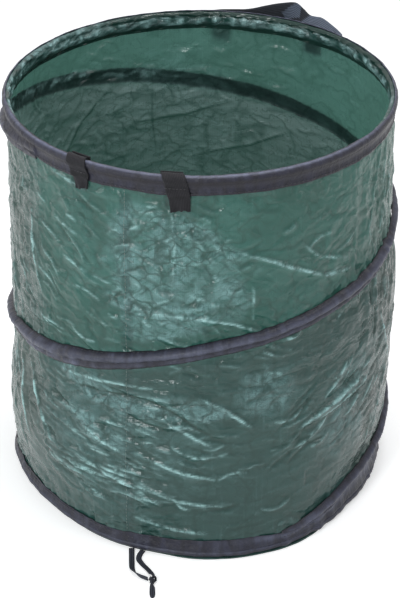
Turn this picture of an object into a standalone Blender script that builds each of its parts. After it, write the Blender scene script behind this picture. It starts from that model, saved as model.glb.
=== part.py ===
"""Pop up leaf bag: an open cloth cylinder held up by one spring steel wire that runs
as a hoop in the rim, a spiral down the outside of the wall and a hoop in the base.

Metres, +Z up. The origin is the centre of the base's underside, on the ground.
-Y is the front, where the wall's seam, the front handle and the front tie are.
"""

import math

import bpy
import bmesh
from mathutils import Vector

# Overall size
bag_height = 0.493
wall_radius = 0.2225
seam_angle = 248.5
circle_steps = 60
seat_gap = 0.0003
merge_distance = 0.00001

# Cloth, tape, webbing and ribbon
cloth_thickness = 0.0008
hem_thickness = 0.0007
tape_thickness = 0.0010
webbing_width = 0.025
webbing_thickness = 0.0015
curved_end_sections = 3
ribbon_width = 0.0066
ribbon_thickness = 0.0009

# Wall: how far it swells out, and the swelling's course up the wall
wall_swell = 0.0042
wall_course_shares = (
    (0.0, 0.15), (0.043, 0.35), (0.16, 0.9), (0.35, 1.0), (0.55, 0.9), (0.78, 0.25), (1.0, 0.0))
seam_fold_width = 0.012
seam_fold_top_drop = 0.028
seam_fold_foot = 0.024

# Spring wire and the crimped ferrules that close its hoops
wire_radius = 0.00175
ferrule_radius = 0.00275
ferrule_length = 0.020
ferrule_sides = 12
wire_end_gap = 0.001
base_ferrule_angle = 117.0
rim_ferrule_angle = 147.0

# Channels: the angle between the points of their round parts
channel_turn = 45.0

# Rim
rim_sleeve_height = 0.023
rim_hem_height = 0.026

# Base
base_panel_thickness = 0.0010
base_panel_lip = 0.0008
base_sleeve_height = 0.022

# Spiral: where it leaves the rim's tape, how far round it goes, and how much more of
# its fall comes in the last part
spiral_start_angle = 188.0
spiral_sweep = 590.0
spiral_steepening_share = 0.143
spiral_tape_width = 0.019
spiral_channel_depth = 0.0067
spiral_section_shares = (
    (0.0, -1.0), (0.04, -0.42), (0.78, -0.22), (1.0, 0.26), (0.75, 0.68), (0.0, 1.0))
spiral_wire_side_share = 0.26
spiral_wire_depth_share = 0.57

# Handles: loops of webbing whose ends are sewn round the rim
handle_half_angle = 14.75
handle_loop_depth = 0.085
handle_flap_drop = 0.016
handle_twist_share = 0.3
handle_loop_steps = 28
handle_depth_steps = 40
handle_hinge_gap = 0.0009
front_loop_headings = (-96.0, -90.0)
back_loop_headings = (62.0, -52.0)
front_loop_bend_power = 1.0
back_loop_bend_power = 2.5

# Ties: ribbon loops under the front and the back of the base. A route's points are
# x, y and lean, seen from above on the ground; lean 0 is flat and 90 is on edge.
tie_anchor_width = 0.021
tie_anchor_angle = 251.6
tie_anchor_depth = 0.0055
ground_clearance = 0.0001
tie_left_route = (
    (-0.0801, -0.2196, 0.0), (-0.0797, -0.2330, 0.0), (-0.0793, -0.2470, 4.0),
    (-0.0786, -0.2590, 20.0), (-0.0752, -0.2690, 50.0), (-0.0690, -0.2765, 75.0),
    (-0.0599, -0.2825, 78.0))
tie_right_route = (
    (-0.0667, -0.2240, 0.0), (-0.0702, -0.2310, 0.0), (-0.0712, -0.2400, 0.0),
    (-0.0672, -0.2500, 8.0), (-0.0610, -0.2600, 12.0), (-0.0556, -0.2705, 20.0),
    (-0.0544, -0.2770, 70.0))
tie_tail_route = ((-0.0543, -0.2913, 70.0), (-0.0546, -0.2985, 20.0), (-0.0542, -0.3150, 0.0))
tie_knot_centre = (-0.0545, -0.2842)
tie_knot_radii = (0.0050, 0.0068, 0.0036)
tie_knot_rings = 8
tie_knot_segments = 10
tie_strand_steps = 16
tie_lift_length = 0.008


def polar(radius, angle, height=0.0):
    """Return the point at this radius, angle in degrees, and height."""
    turn = math.radians(angle)
    return Vector((radius * math.cos(turn), radius * math.sin(turn), height))


def mixed(low, high, share):
    """Return the value this share of the way from low to high."""
    return low + (high - low) * share


def vertex_radius(clear_radius, thickness):
    """Return the corner radius of a faceted cloth tube's middle that clears a round core."""
    flat_radius = clear_radius + thickness / 2.0
    return flat_radius / math.cos(math.radians(channel_turn / 2.0))


def layer_step(inner_thickness, outer_thickness):
    """Return how much further out the corners of the next cloth layer lie."""
    step = inner_thickness / 2.0 + seat_gap + outer_thickness / 2.0
    return step / math.cos(math.radians(channel_turn / 2.0))


def flat_reach(radius, thickness):
    """Return how far the flats of a faceted cloth tube reach from its centre."""
    return radius * math.cos(math.radians(channel_turn / 2.0)) + thickness / 2.0


# Channel radii, from the ferrule outwards
hem_channel = vertex_radius(ferrule_radius + seat_gap, hem_thickness)
rim_channel = hem_channel + layer_step(hem_thickness, tape_thickness)
webbing_channel = rim_channel + layer_step(tape_thickness, webbing_thickness)
base_channel = vertex_radius(ferrule_radius + seat_gap, tape_thickness)

# Heights of the hoops and of the wall
rim_wire_height = bag_height - flat_reach(rim_channel, tape_thickness)
base_underlay = base_panel_thickness + seat_gap + ribbon_thickness + seat_gap
base_wire_height = base_underlay + flat_reach(base_channel, tape_thickness)
wall_foot = base_panel_thickness + seat_gap
wall_top = rim_wire_height - flat_reach(rim_channel, tape_thickness) - seat_gap


def wall_points():
    """Return the (radius, height) points up the middle of the wall's cloth."""
    points = []
    for height_share, swell_share in wall_course_shares:
        radius = wall_radius + wall_swell * swell_share
        points.append((radius, mixed(wall_foot, wall_top, height_share)))
    return points


def wall_radius_at(height):
    """Return the radius of the middle of the wall's cloth at a height."""
    points = wall_points()
    if height <= points[0][1]:
        return points[0][0]
    for lower, upper in zip(points, points[1:]):
        if height <= upper[1]:
            share = (height - lower[1]) / (upper[1] - lower[1])
            return mixed(lower[0], upper[0], share)
    return points[-1][0]


def wall_outside(height):
    """Return the radius of the wall's outer face at a height."""
    return wall_radius_at(height) + cloth_thickness / 2.0


base_wire_radius = wall_outside(base_wire_height) + seat_gap + ferrule_radius
base_panel_radius = base_wire_radius + flat_reach(base_channel, tape_thickness) + base_panel_lip


def clear_scene():
    """Remove every object of the open scene."""
    for item in list(bpy.data.objects):
        bpy.data.objects.remove(item, do_unlink=True)


def make_material(name, color, roughness, metallic=0.0):
    """Return a Principled material."""
    surface = bpy.data.materials.new(name)
    surface.use_nodes = True
    shader = surface.node_tree.nodes["Principled BSDF"]
    shader.inputs["Base Color"].default_value = (*color, 1.0)
    shader.inputs["Roughness"].default_value = roughness
    shader.inputs["Metallic"].default_value = metallic
    surface.diffuse_color = (*color, 1.0)
    return surface


def green_cloth():
    """Return the wall's green woven plastic cloth."""
    return make_material("green_cloth", (0.075, 0.185, 0.150), 0.42)


def base_cloth():
    """Return the base panel's green cloth."""
    return make_material("base_cloth", (0.070, 0.190, 0.145), 0.45)


def hem_cloth():
    """Return the shiny folded cloth of the hem."""
    return make_material("hem_cloth", (0.110, 0.230, 0.190), 0.35)


def dark_tape():
    """Return the dark grey binding tape."""
    return make_material("dark_tape", (0.055, 0.052, 0.070), 0.5)


def handle_webbing():
    """Return the blue grey webbing of the handles."""
    return make_material("handle_webbing", (0.105, 0.120, 0.165), 0.6)


def tie_ribbon():
    """Return the dark ribbon of the ties."""
    return make_material("tie_ribbon", (0.060, 0.068, 0.100), 0.6)


def spring_steel():
    """Return the spring wire's steel."""
    return make_material("spring_steel", (0.42, 0.42, 0.44), 0.35, 1.0)


def crimped_steel():
    """Return the plated steel of the ferrules."""
    return make_material("crimped_steel", (0.55, 0.56, 0.58), 0.3, 1.0)


def make_collection(name):
    """Return a new collection linked to the scene."""
    group = bpy.data.collections.new(name)
    bpy.context.scene.collection.children.link(group)
    return group


def add_empty(name, place, group):
    """Add an empty that marks the axis of a moving body."""
    marker = bpy.data.objects.new(name, None)
    marker.empty_display_size = wall_radius
    marker.location = place
    group.objects.link(marker)
    return marker


def add_object(name, data, surface, group, parent=None, place=(0.0, 0.0, 0.0)):
    """Add one sub-part, placed from its parent."""
    item = bpy.data.objects.new(name, data)
    item.data.materials.append(surface)
    item.location = place
    item.parent = parent
    group.objects.link(item)
    return item


def add_solidify(item, thickness):
    """Thicken an open surface evenly to both sides."""
    shell = item.modifiers.new("thickness", "SOLIDIFY")
    shell.thickness = thickness
    shell.offset = 0.0
    shell.use_even_offset = True


def turned_cloth(name, profile, thickness, surface, group, parent=None, place=(0.0, 0.0, 0.0)):
    """Add a ring of cloth: a (radius, height) profile turned about Z and thickened."""
    mesh = bpy.data.meshes.new(name)
    corners = [(radius, 0.0, height) for radius, height in profile]
    edges = [(index, index + 1) for index in range(len(profile) - 1)]
    mesh.from_pydata(corners, edges, [])
    item = add_object(name, mesh, surface, group, parent, place)
    turn = item.modifiers.new("turn", "SCREW")
    turn.axis = "Z"
    turn.angle = math.tau
    turn.steps = circle_steps
    turn.render_steps = circle_steps
    turn.use_merge_vertices = True
    turn.merge_threshold = merge_distance
    turn.use_smooth_shade = True
    add_solidify(item, thickness)
    return item


def strip_of_cloth(name, rows, thickness, surface, group, parent=None, place=(0.0, 0.0, 0.0)):
    """Add a strip of cloth through rows of points, thickened; all rows have the same length."""
    mesh = bpy.data.meshes.new(name)
    shape = bmesh.new()
    grid = [[shape.verts.new(point) for point in row] for row in rows]
    for row, following in zip(grid, grid[1:]):
        for index in range(len(row) - 1):
            shape.faces.new((row[index], row[index + 1], following[index + 1], following[index]))
    bmesh.ops.recalc_face_normals(shape, faces=shape.faces)
    for face in shape.faces:
        face.smooth = True
    shape.to_mesh(mesh)
    shape.free()
    item = add_object(name, mesh, surface, group, parent, place)
    add_solidify(item, thickness)
    return item


def round_wire(name, points, radius, surface, group, parent=None, place=(0.0, 0.0, 0.0)):
    """Add an open wire of round section through the points."""
    curve = bpy.data.curves.new(name, "CURVE")
    curve.dimensions = "3D"
    curve.bevel_depth = radius
    curve.bevel_resolution = 2
    curve.render_resolution_u = 0
    curve.use_fill_caps = True
    path = curve.splines.new("POLY")
    path.points.add(len(points) - 1)
    for node, point in zip(path.points, points):
        node.co = (*point, 1.0)
    return add_object(name, curve, surface, group, parent, place)


def channel_arc(radius, first, last, centre_radius, centre_height):
    """Return (radius, height) points round a channel, from the first angle to the last."""
    count = round(abs(last - first) / channel_turn)
    points = []
    for index in range(count + 1):
        turn = math.radians(mixed(first, last, index / count))
        points.append((centre_radius + radius * math.cos(turn),
                       centre_height + radius * math.sin(turn)))
    return points


def lap_corner(radius, leg_radius, centre_radius, centre_height):
    """Return the (radius, height) where a channel's round part meets its upright lap."""
    turn = math.radians(channel_turn)
    reach = radius * math.cos(turn / 2.0)
    rise = ((leg_radius - centre_radius) * math.cos(turn) - reach) / math.sin(turn)
    return leg_radius, centre_height + rise


def hoop_points(radius, height, joint_angle):
    """Return the points of an open hoop whose ends meet inside the ferrule."""
    step = 360.0 / circle_steps
    first = polar(radius, joint_angle - step / 2.0, height)
    last = polar(radius, joint_angle + step / 2.0, height)
    middle = (first + last) / 2.0
    along = (last - first).normalized()
    points = [middle + along * wire_end_gap / 2.0]
    for index in range(circle_steps):
        points.append(polar(radius, joint_angle + step * (index + 0.5), height))
    points.append(middle - along * wire_end_gap / 2.0)
    return points


def add_ferrule(name, radius, height, joint_angle, surface, group, parent=None):
    """Add the crimped tube round the two ends of a hoop."""
    step = 360.0 / circle_steps
    middle = polar(radius * math.cos(math.radians(step / 2.0)), joint_angle, height)
    mesh = bpy.data.meshes.new(name)
    bore = wire_radius + seat_gap
    half = ferrule_length / 2.0
    outline = ((ferrule_radius, half), (ferrule_radius, -half), (bore, -half), (bore, half))
    corners = [(reach, 0.0, along) for reach, along in outline]
    edges = [(index, (index + 1) % len(outline)) for index in range(len(outline))]
    mesh.from_pydata(corners, edges, [])
    item = add_object(name, mesh, surface, group, parent, middle)
    item.rotation_euler = (math.radians(90.0), 0.0, math.radians(joint_angle))
    turn = item.modifiers.new("turn", "SCREW")
    turn.axis = "Z"
    turn.angle = math.tau
    turn.steps = ferrule_sides
    turn.render_steps = ferrule_sides
    turn.use_merge_vertices = True
    turn.merge_threshold = merge_distance
    return item


def add_base_panel(group):
    """Add the round panel that the bag stands on."""
    mesh = bpy.data.meshes.new("base_panel")
    shape = bmesh.new()
    bmesh.ops.create_cone(
        shape, cap_ends=True, segments=circle_steps, radius1=base_panel_radius,
        radius2=base_panel_radius, depth=base_panel_thickness)
    shape.to_mesh(mesh)
    shape.free()
    place = (0.0, 0.0, base_panel_thickness / 2.0)
    return add_object("base_panel", mesh, base_cloth(), group, None, place)


def add_base_sleeve(group, tape):
    """Add the tape that binds the base hoop to the foot of the wall."""
    lap_radius = wall_outside(base_sleeve_height) + seat_gap + tape_thickness / 2.0
    profile = [(lap_radius, base_sleeve_height)]
    top_angle = 90.0 + channel_turn / 2.0
    profile += channel_arc(base_channel, top_angle, -top_angle, base_wire_radius, base_wire_height)
    return turned_cloth("base_sleeve", profile, tape_thickness, tape, group)


def add_wall(group, cloth):
    """Add the wall, one sheet closed at its seam, and the seam's fold inside it."""
    turned_cloth("wall_panel", wall_points()[::-1], cloth_thickness, cloth, group)
    step = 360.0 / circle_steps
    facet_angle = (math.floor(seam_angle / step) + 0.5) * step
    outward = polar(1.0, facet_angle)
    across = polar(1.0, facet_angle + 90.0)
    shift = wall_radius * math.radians(seam_angle - facet_angle)
    inset = cloth_thickness + seat_gap
    fold_top = bag_height - seam_fold_top_drop
    heights = [seam_fold_foot]
    heights += [height for radius, height in wall_points() if seam_fold_foot < height < fold_top]
    heights.append(fold_top)
    rows = []
    for height in heights:
        reach = wall_radius_at(height) * math.cos(math.radians(step / 2.0)) - inset
        middle = outward * reach + across * shift + Vector((0.0, 0.0, height))
        half = across * seam_fold_width / 2.0
        rows.append([middle - half, middle + half])
    strip_of_cloth("wall_seam_fold", rows, cloth_thickness, cloth, group)


def spiral_height(angle_run):
    """Return the height of the spiral tape's middle after this many degrees."""
    share = angle_run / spiral_sweep
    fallen = mixed(share, share * share, spiral_steepening_share)
    half_height = (spiral_tape_width + tape_thickness) / 2.0
    highest = bag_height - rim_sleeve_height - seat_gap - half_height
    lowest = base_sleeve_height + seat_gap + half_height
    return mixed(highest, lowest, fallen)


def spiral_runs():
    """Return the degrees travelled at each step of the spiral."""
    count = round(spiral_sweep / (360.0 / circle_steps))
    return [spiral_sweep * index / count for index in range(count + 1)]


def spiral_point(angle_run, depth_share, side_share):
    """Return a point of the spiral's section, which lies on the wall's outer face."""
    height = spiral_height(angle_run) + side_share * spiral_tape_width / 2.0
    offset = seat_gap + tape_thickness / 2.0 + depth_share * spiral_channel_depth
    return polar(wall_outside(height) + offset, spiral_start_angle - angle_run, height)


def add_spiral(group, tape, steel):
    """Add the tape channel that winds down the wall, and the spring wire inside it."""
    rows = []
    for run in spiral_runs():
        rows.append([spiral_point(run, depth, side) for depth, side in spiral_section_shares])
    strip_of_cloth("spiral_sleeve", rows, tape_thickness, tape, group)
    points = []
    for run in spiral_runs()[1:-1]:
        points.append(spiral_point(run, spiral_wire_depth_share, spiral_wire_side_share))
    round_wire("spiral_wire", points, wire_radius, steel, group)


def add_rim(group, lift, tape, steel, ferrule_steel):
    """Add the rim: the hoop, its ferrule, the hem over it and the tape round both."""
    inner_leg = wall_radius - cloth_thickness / 2.0 - seat_gap - hem_thickness / 2.0
    half_turn = channel_turn / 2.0
    hem = [(inner_leg, bag_height - rim_hem_height - rim_wire_height)]
    hem += channel_arc(hem_channel, 270.0 - half_turn, -half_turn, wall_radius, 0.0)
    turned_cloth("rim_hem", hem, hem_thickness, hem_cloth(), group, lift)
    lap_height = bag_height - rim_sleeve_height
    outer_leg = wall_outside(lap_height) + seat_gap + tape_thickness / 2.0
    sleeve = channel_arc(rim_channel, 180.0 - half_turn, -half_turn, wall_radius, 0.0)
    sleeve.append(lap_corner(rim_channel, outer_leg, wall_radius, 0.0))
    sleeve.append((outer_leg, lap_height - rim_wire_height))
    turned_cloth("rim_sleeve", sleeve, tape_thickness, tape, group, lift)
    hoop = hoop_points(wall_radius, 0.0, rim_ferrule_angle)
    round_wire("rim_hoop_wire", hoop, wire_radius, steel, group, lift)
    add_ferrule("rim_hoop_ferrule", wall_radius, 0.0, rim_ferrule_angle, ferrule_steel, group, lift)


def handle_end_profile(over_the_top):
    """Return the course of a sewn handle end, from its flap up round the rim's outside."""
    lap_height = bag_height - rim_sleeve_height
    stack = seat_gap + tape_thickness + seat_gap + webbing_thickness / 2.0
    leg = wall_outside(lap_height) + stack
    half_turn = channel_turn / 2.0
    last = 180.0 - half_turn if over_the_top else half_turn
    profile = [(leg, lap_height - handle_flap_drop)]
    profile.append(lap_corner(webbing_channel, leg, wall_radius, rim_wire_height))
    profile += channel_arc(webbing_channel, -half_turn, last, wall_radius, rim_wire_height)
    return profile


def handle_hinge_reach(over_the_top):
    """Return the (radius, height) where a loop starts: on the inner face of an end that
    goes over the top, or just past the edge of one that doesn't."""
    profile = handle_end_profile(over_the_top)
    last = Vector(profile[-1])
    along = (last - Vector(profile[-2])).normalized()
    if over_the_top:
        away = Vector((along.y, -along.x))
        return last + away * (webbing_thickness + seat_gap)
    return last + along * handle_hinge_gap


def handle_hinge_place(handle_angle, over_the_top):
    """Return the middle of a loop's hinge line, which passes the nearest corners of its ends."""
    end_radius, end_height = handle_hinge_reach(over_the_top)
    half_width = math.degrees(webbing_width / 2.0 / wall_radius)
    corner = handle_half_angle + half_width if over_the_top else handle_half_angle - half_width
    reach = end_radius * math.cos(math.radians(corner))
    return polar(reach, handle_angle, end_height - rim_wire_height)


def add_handle_end(name, angle, over_the_top, group, lift, webbing):
    """Add one end of a handle, sewn to the outside of the rim's tape."""
    half = math.degrees(webbing_width / 2.0 / wall_radius)
    rows = []
    for radius, height in handle_end_profile(over_the_top):
        row = []
        for index in range(curved_end_sections):
            share = index / (curved_end_sections - 1)
            turn = angle + mixed(-half, half, share)
            row.append(polar(radius, turn, height - rim_wire_height))
        rows.append(row)
    strip_of_cloth(name, rows, webbing_thickness, webbing, group, lift)


def loop_heading(share, headings, bend_power):
    """Return which way the loop heads at this share of its depth, from level outwards."""
    return math.radians(mixed(headings[1], headings[0], (1.0 - share) ** bend_power))


def loop_offset(share, headings, bend_power):
    """Return how far out and up the loop has gone at this share of its depth."""
    outward = 0.0
    upward = 0.0
    step = share / handle_depth_steps
    for index in range(handle_depth_steps):
        heading = loop_heading(step * (index + 0.5), headings, bend_power)
        outward += math.cos(heading) * handle_loop_depth * step
        upward += math.sin(heading) * handle_loop_depth * step
    return outward, upward


def loop_frame(turn, handle_angle, half_chord, headings, bend_power):
    """Return a loop's middle point at this turn, from 0 to pi, and its face normal."""
    share = math.sin(turn)
    outward, upward = loop_offset(share, headings, bend_power)
    along = -half_chord * math.cos(turn)
    out_axis = polar(1.0, handle_angle)
    chord_axis = polar(1.0, handle_angle + 90.0)
    point = chord_axis * along + out_axis * outward + Vector((0.0, 0.0, upward))
    heading = loop_heading(share, headings, bend_power)
    normal = out_axis * -math.sin(heading) + Vector((0.0, 0.0, math.cos(heading)))
    return point, normal


def add_handle_strap(name, handle_angle, over_the_top, headings, bend_power, group, hinge, webbing):
    """Add a handle's loop, whose webbing turns a quarter turn between end and grip."""
    end_radius = handle_hinge_reach(over_the_top)[0]
    half_chord = end_radius * math.sin(math.radians(handle_half_angle))
    shape = (handle_angle, half_chord, headings, bend_power)
    small_turn = 0.5 * math.pi / handle_loop_steps
    rows = []
    for index in range(handle_loop_steps + 1):
        share = index / handle_loop_steps
        turn = math.pi * share
        point, normal = loop_frame(turn, *shape)
        before = loop_frame(max(turn - small_turn, 0.0), *shape)[0]
        after = loop_frame(min(turn + small_turn, math.pi), *shape)[0]
        along = (after - before).normalized()
        from_end = min(share, 1.0 - share) / handle_twist_share
        ease = min(from_end, 1.0)
        twist = math.radians(90.0) * ease * ease * (3.0 - 2.0 * ease)
        flat_side = normal.cross(along)
        end_side = polar(1.0, handle_angle + 90.0)
        if end_side.dot(flat_side) < 0.0:
            end_side = -end_side
        level = math.cos(twist)
        across = (flat_side * (1.0 - level) + end_side * level) * level + normal * math.sin(twist)
        across = (across - along * across.dot(along) * (1.0 - level)).normalized()
        half = across * webbing_width / 2.0
        rows.append([point - half, point + half])
    strip_of_cloth(name, rows, webbing_thickness, webbing, group, hinge)


def add_handle(label, handle_angle, over_the_top, headings, bend_power, group, lift, webbing):
    """Add a handle: its two sewn ends on the rim and the loop that swings between them."""
    left_angle = handle_angle - handle_half_angle
    right_angle = handle_angle + handle_half_angle
    add_handle_end(label + "_left_end", left_angle, over_the_top, group, lift, webbing)
    add_handle_end(label + "_right_end", right_angle, over_the_top, group, lift, webbing)
    place = handle_hinge_place(handle_angle, over_the_top)
    hinge = add_empty(label + "_hinge", place, group)
    hinge.parent = lift
    add_handle_strap(
        label + "_strap", handle_angle, over_the_top, headings, bend_power, group, hinge, webbing)


def smooth_route(points, count):
    """Return evenly shared points of a smooth curve through a route's own points."""
    route = [Vector(point) for point in points]
    route = [route[0] * 2.0 - route[1]] + route + [route[-1] * 2.0 - route[-2]]
    smooth = []
    for index in range(count + 1):
        place = (len(points) - 1) * index / count
        span = min(int(place), len(points) - 2)
        share = place - span
        before, start, end, after = route[span:span + 4]
        smooth.append(0.5 * (
            2.0 * start + (end - before) * share
            + (2.0 * before - 5.0 * start + 4.0 * end - after) * share ** 2
            + (3.0 * start - before - 3.0 * end + after) * share ** 3))
    return smooth


def ribbon_rows(route, half_turn, starts_on_panel):
    """Return the edge points of a tie's ribbon along its route on the ground."""
    middle = smooth_route(route, tie_strand_steps)
    lifted = wall_foot + ribbon_thickness / 2.0
    rows = []
    travelled = 0.0
    for index, place in enumerate(middle):
        before = middle[max(index - 1, 0)]
        after = middle[min(index + 1, len(middle) - 1)]
        along = Vector((after.x - before.x, after.y - before.y, 0.0)).normalized()
        travelled += (place.xy - before.xy).length
        lean = math.radians(place.z)
        across = Vector((along.y, -along.x, 0.0)) * math.cos(lean) + Vector((0.0, 0.0, math.sin(lean)))
        resting = ribbon_width * math.sin(lean) + ribbon_thickness * math.cos(lean)
        height = ground_clearance + resting / 2.0
        if starts_on_panel:
            settled = min(travelled / tie_lift_length, 1.0)
            height = mixed(max(lifted, height), height, settled)
        point = Vector((place.x * half_turn, place.y * half_turn, height))
        half = Vector((across.x * half_turn, across.y * half_turn, across.z)) * ribbon_width / 2.0
        rows.append([point - half, point + half])
    return rows


def add_tie(label, half_turn, group, ribbon):
    """Add a tie: its folded end under the tape, two strands, their knot and its tail."""
    angle = tie_anchor_angle if half_turn > 0.0 else tie_anchor_angle - 180.0
    outer = base_panel_radius
    half = math.degrees(tie_anchor_width / 2.0 / outer)
    height = wall_foot + ribbon_thickness / 2.0
    rows = []
    for index in range(curved_end_sections):
        turn = angle + mixed(-half, half, index / (curved_end_sections - 1))
        rows.append([polar(outer - tie_anchor_depth, turn, height), polar(outer, turn, height)])
    strip_of_cloth(label + "_anchor", rows, ribbon_thickness, ribbon, group)
    left = ribbon_rows(tie_left_route, half_turn, True)
    strip_of_cloth(label + "_left_strand", left, ribbon_thickness, ribbon, group)
    right = ribbon_rows(tie_right_route, half_turn, True)
    strip_of_cloth(label + "_right_strand", right, ribbon_thickness, ribbon, group)
    tail = ribbon_rows(tie_tail_route, half_turn, False)
    strip_of_cloth(label + "_tail", tail, ribbon_thickness, ribbon, group)
    mesh = bpy.data.meshes.new(label + "_knot")
    shape = bmesh.new()
    bmesh.ops.create_uvsphere(
        shape, u_segments=tie_knot_segments, v_segments=tie_knot_rings, radius=1.0)
    bmesh.ops.scale(shape, vec=tie_knot_radii, verts=shape.verts)
    for face in shape.faces:
        face.smooth = True
    shape.to_mesh(mesh)
    shape.free()
    place = (tie_knot_centre[0] * half_turn, tie_knot_centre[1] * half_turn,
             tie_knot_radii[2] + ground_clearance)
    add_object(label + "_knot", mesh, ribbon, group, None, place)


def build_leaf_bag():
    """Build the whole bag."""
    clear_scene()
    group = make_collection("leaf_bag")
    tape = dark_tape()
    cloth = green_cloth()
    steel = spring_steel()
    ferrule_steel = crimped_steel()
    webbing = handle_webbing()
    ribbon = tie_ribbon()
    add_base_panel(group)
    add_base_sleeve(group, tape)
    hoop = hoop_points(base_wire_radius, base_wire_height, base_ferrule_angle)
    round_wire("base_hoop_wire", hoop, wire_radius, steel, group)
    add_ferrule(
        "base_hoop_ferrule", base_wire_radius, base_wire_height, base_ferrule_angle, ferrule_steel, group)
    add_wall(group, cloth)
    add_spiral(group, tape, steel)
    lift = add_empty("rim_lift", (0.0, 0.0, rim_wire_height), group)
    add_rim(group, lift, tape, steel, ferrule_steel)
    add_handle(
        "front_handle", seam_angle, True, front_loop_headings, front_loop_bend_power, group, lift, webbing)
    add_handle(
        "back_handle", seam_angle - 180.0, False, back_loop_headings, back_loop_bend_power,
        group, lift, webbing)
    add_tie("front_tie", 1.0, group, ribbon)
    add_tie("back_tie", -1.0, group, ribbon)


build_leaf_bag()
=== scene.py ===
"""Pop up leaf bag, dressed: crumpled woven plastic cloth, gathered tape, webbing and ribbon."""

import math

import bpy
import numpy as np
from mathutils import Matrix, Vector


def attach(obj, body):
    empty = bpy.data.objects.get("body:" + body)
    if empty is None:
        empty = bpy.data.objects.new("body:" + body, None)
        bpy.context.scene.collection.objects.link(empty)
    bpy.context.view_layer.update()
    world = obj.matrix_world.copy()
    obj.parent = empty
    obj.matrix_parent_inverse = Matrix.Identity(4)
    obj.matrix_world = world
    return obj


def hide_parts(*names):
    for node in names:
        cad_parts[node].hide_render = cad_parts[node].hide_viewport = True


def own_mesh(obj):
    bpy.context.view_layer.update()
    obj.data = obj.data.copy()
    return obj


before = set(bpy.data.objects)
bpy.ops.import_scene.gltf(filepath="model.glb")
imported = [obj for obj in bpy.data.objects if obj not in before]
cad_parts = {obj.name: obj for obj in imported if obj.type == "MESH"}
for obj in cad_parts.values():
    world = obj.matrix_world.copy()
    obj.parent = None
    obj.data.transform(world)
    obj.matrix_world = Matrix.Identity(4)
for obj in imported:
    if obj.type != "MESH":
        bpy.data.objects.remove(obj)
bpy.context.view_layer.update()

# Sizes shared with the frame
bag_height = 0.493
ring_radius = 0.2225
rim_wire_height = 0.48795
rim_tape_bottom = 0.470
base_wire_radius = 0.2268
base_wire_height = 0.00655
base_panel_radius = 0.2316
wall_foot = 0.0013
wall_top = 0.4826
seam_angle = 248.5
wire_radius = 0.00175
spiral_start = 216.0
spiral_sweep = 642.0
spiral_rise = 0.4775
spiral_fall = 0.4655
spiral_steepening = 0.158
spiral_half_width = 0.0098
spiral_depth = 0.0080
spiral_sag_run = 348.0
spiral_sag = 0.0088
webbing_width = 0.025
webbing_thickness = 0.0015
ribbon_width = 0.0066
ribbon_thickness = 0.0009
handle_half_angle = 14.75
back_left_angle = seam_angle - 181.9 - handle_half_angle
back_right_angle = seam_angle - 180.0 + handle_half_angle
front_hinge = np.array((-0.07500, -0.19040, 0.49175))

# Sizes of the cloth's own detail
tape_thickness = 0.0008
tape_detail = 0.3
spiral_detail = 0.5
spiral_gap = 0.0007
seam_half_width = 0.006
ring_stitch_step = 0.0052
base_stitch_height = 0.0165
wall_wear_scale = 0.0007
ring_steps = 1440
ring_angle = np.arange(ring_steps) * 360.0 / ring_steps
ring_u = ring_angle / 360.0
yarn_period = 0.0022

# Camera and light
camera_place = (0.0, -2.6, 1.7118)
camera_tilt = 60.026
camera_lens = 149.76
lamp_aim = (0.0, 0.0, 0.25)


# Camera
def add_camera():
    """The photograph's own view."""
    data = bpy.data.cameras.new("camera")
    camera = bpy.data.objects.new("camera", data)
    bpy.context.scene.collection.objects.link(camera)
    data.sensor_fit = "AUTO"
    data.sensor_width = 36.0
    data.lens = camera_lens
    data.clip_end = 30.0
    camera.location = camera_place
    camera.rotation_euler = (math.radians(camera_tilt), 0.0, 0.0)
    bpy.context.scene.camera = camera


add_camera()


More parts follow.
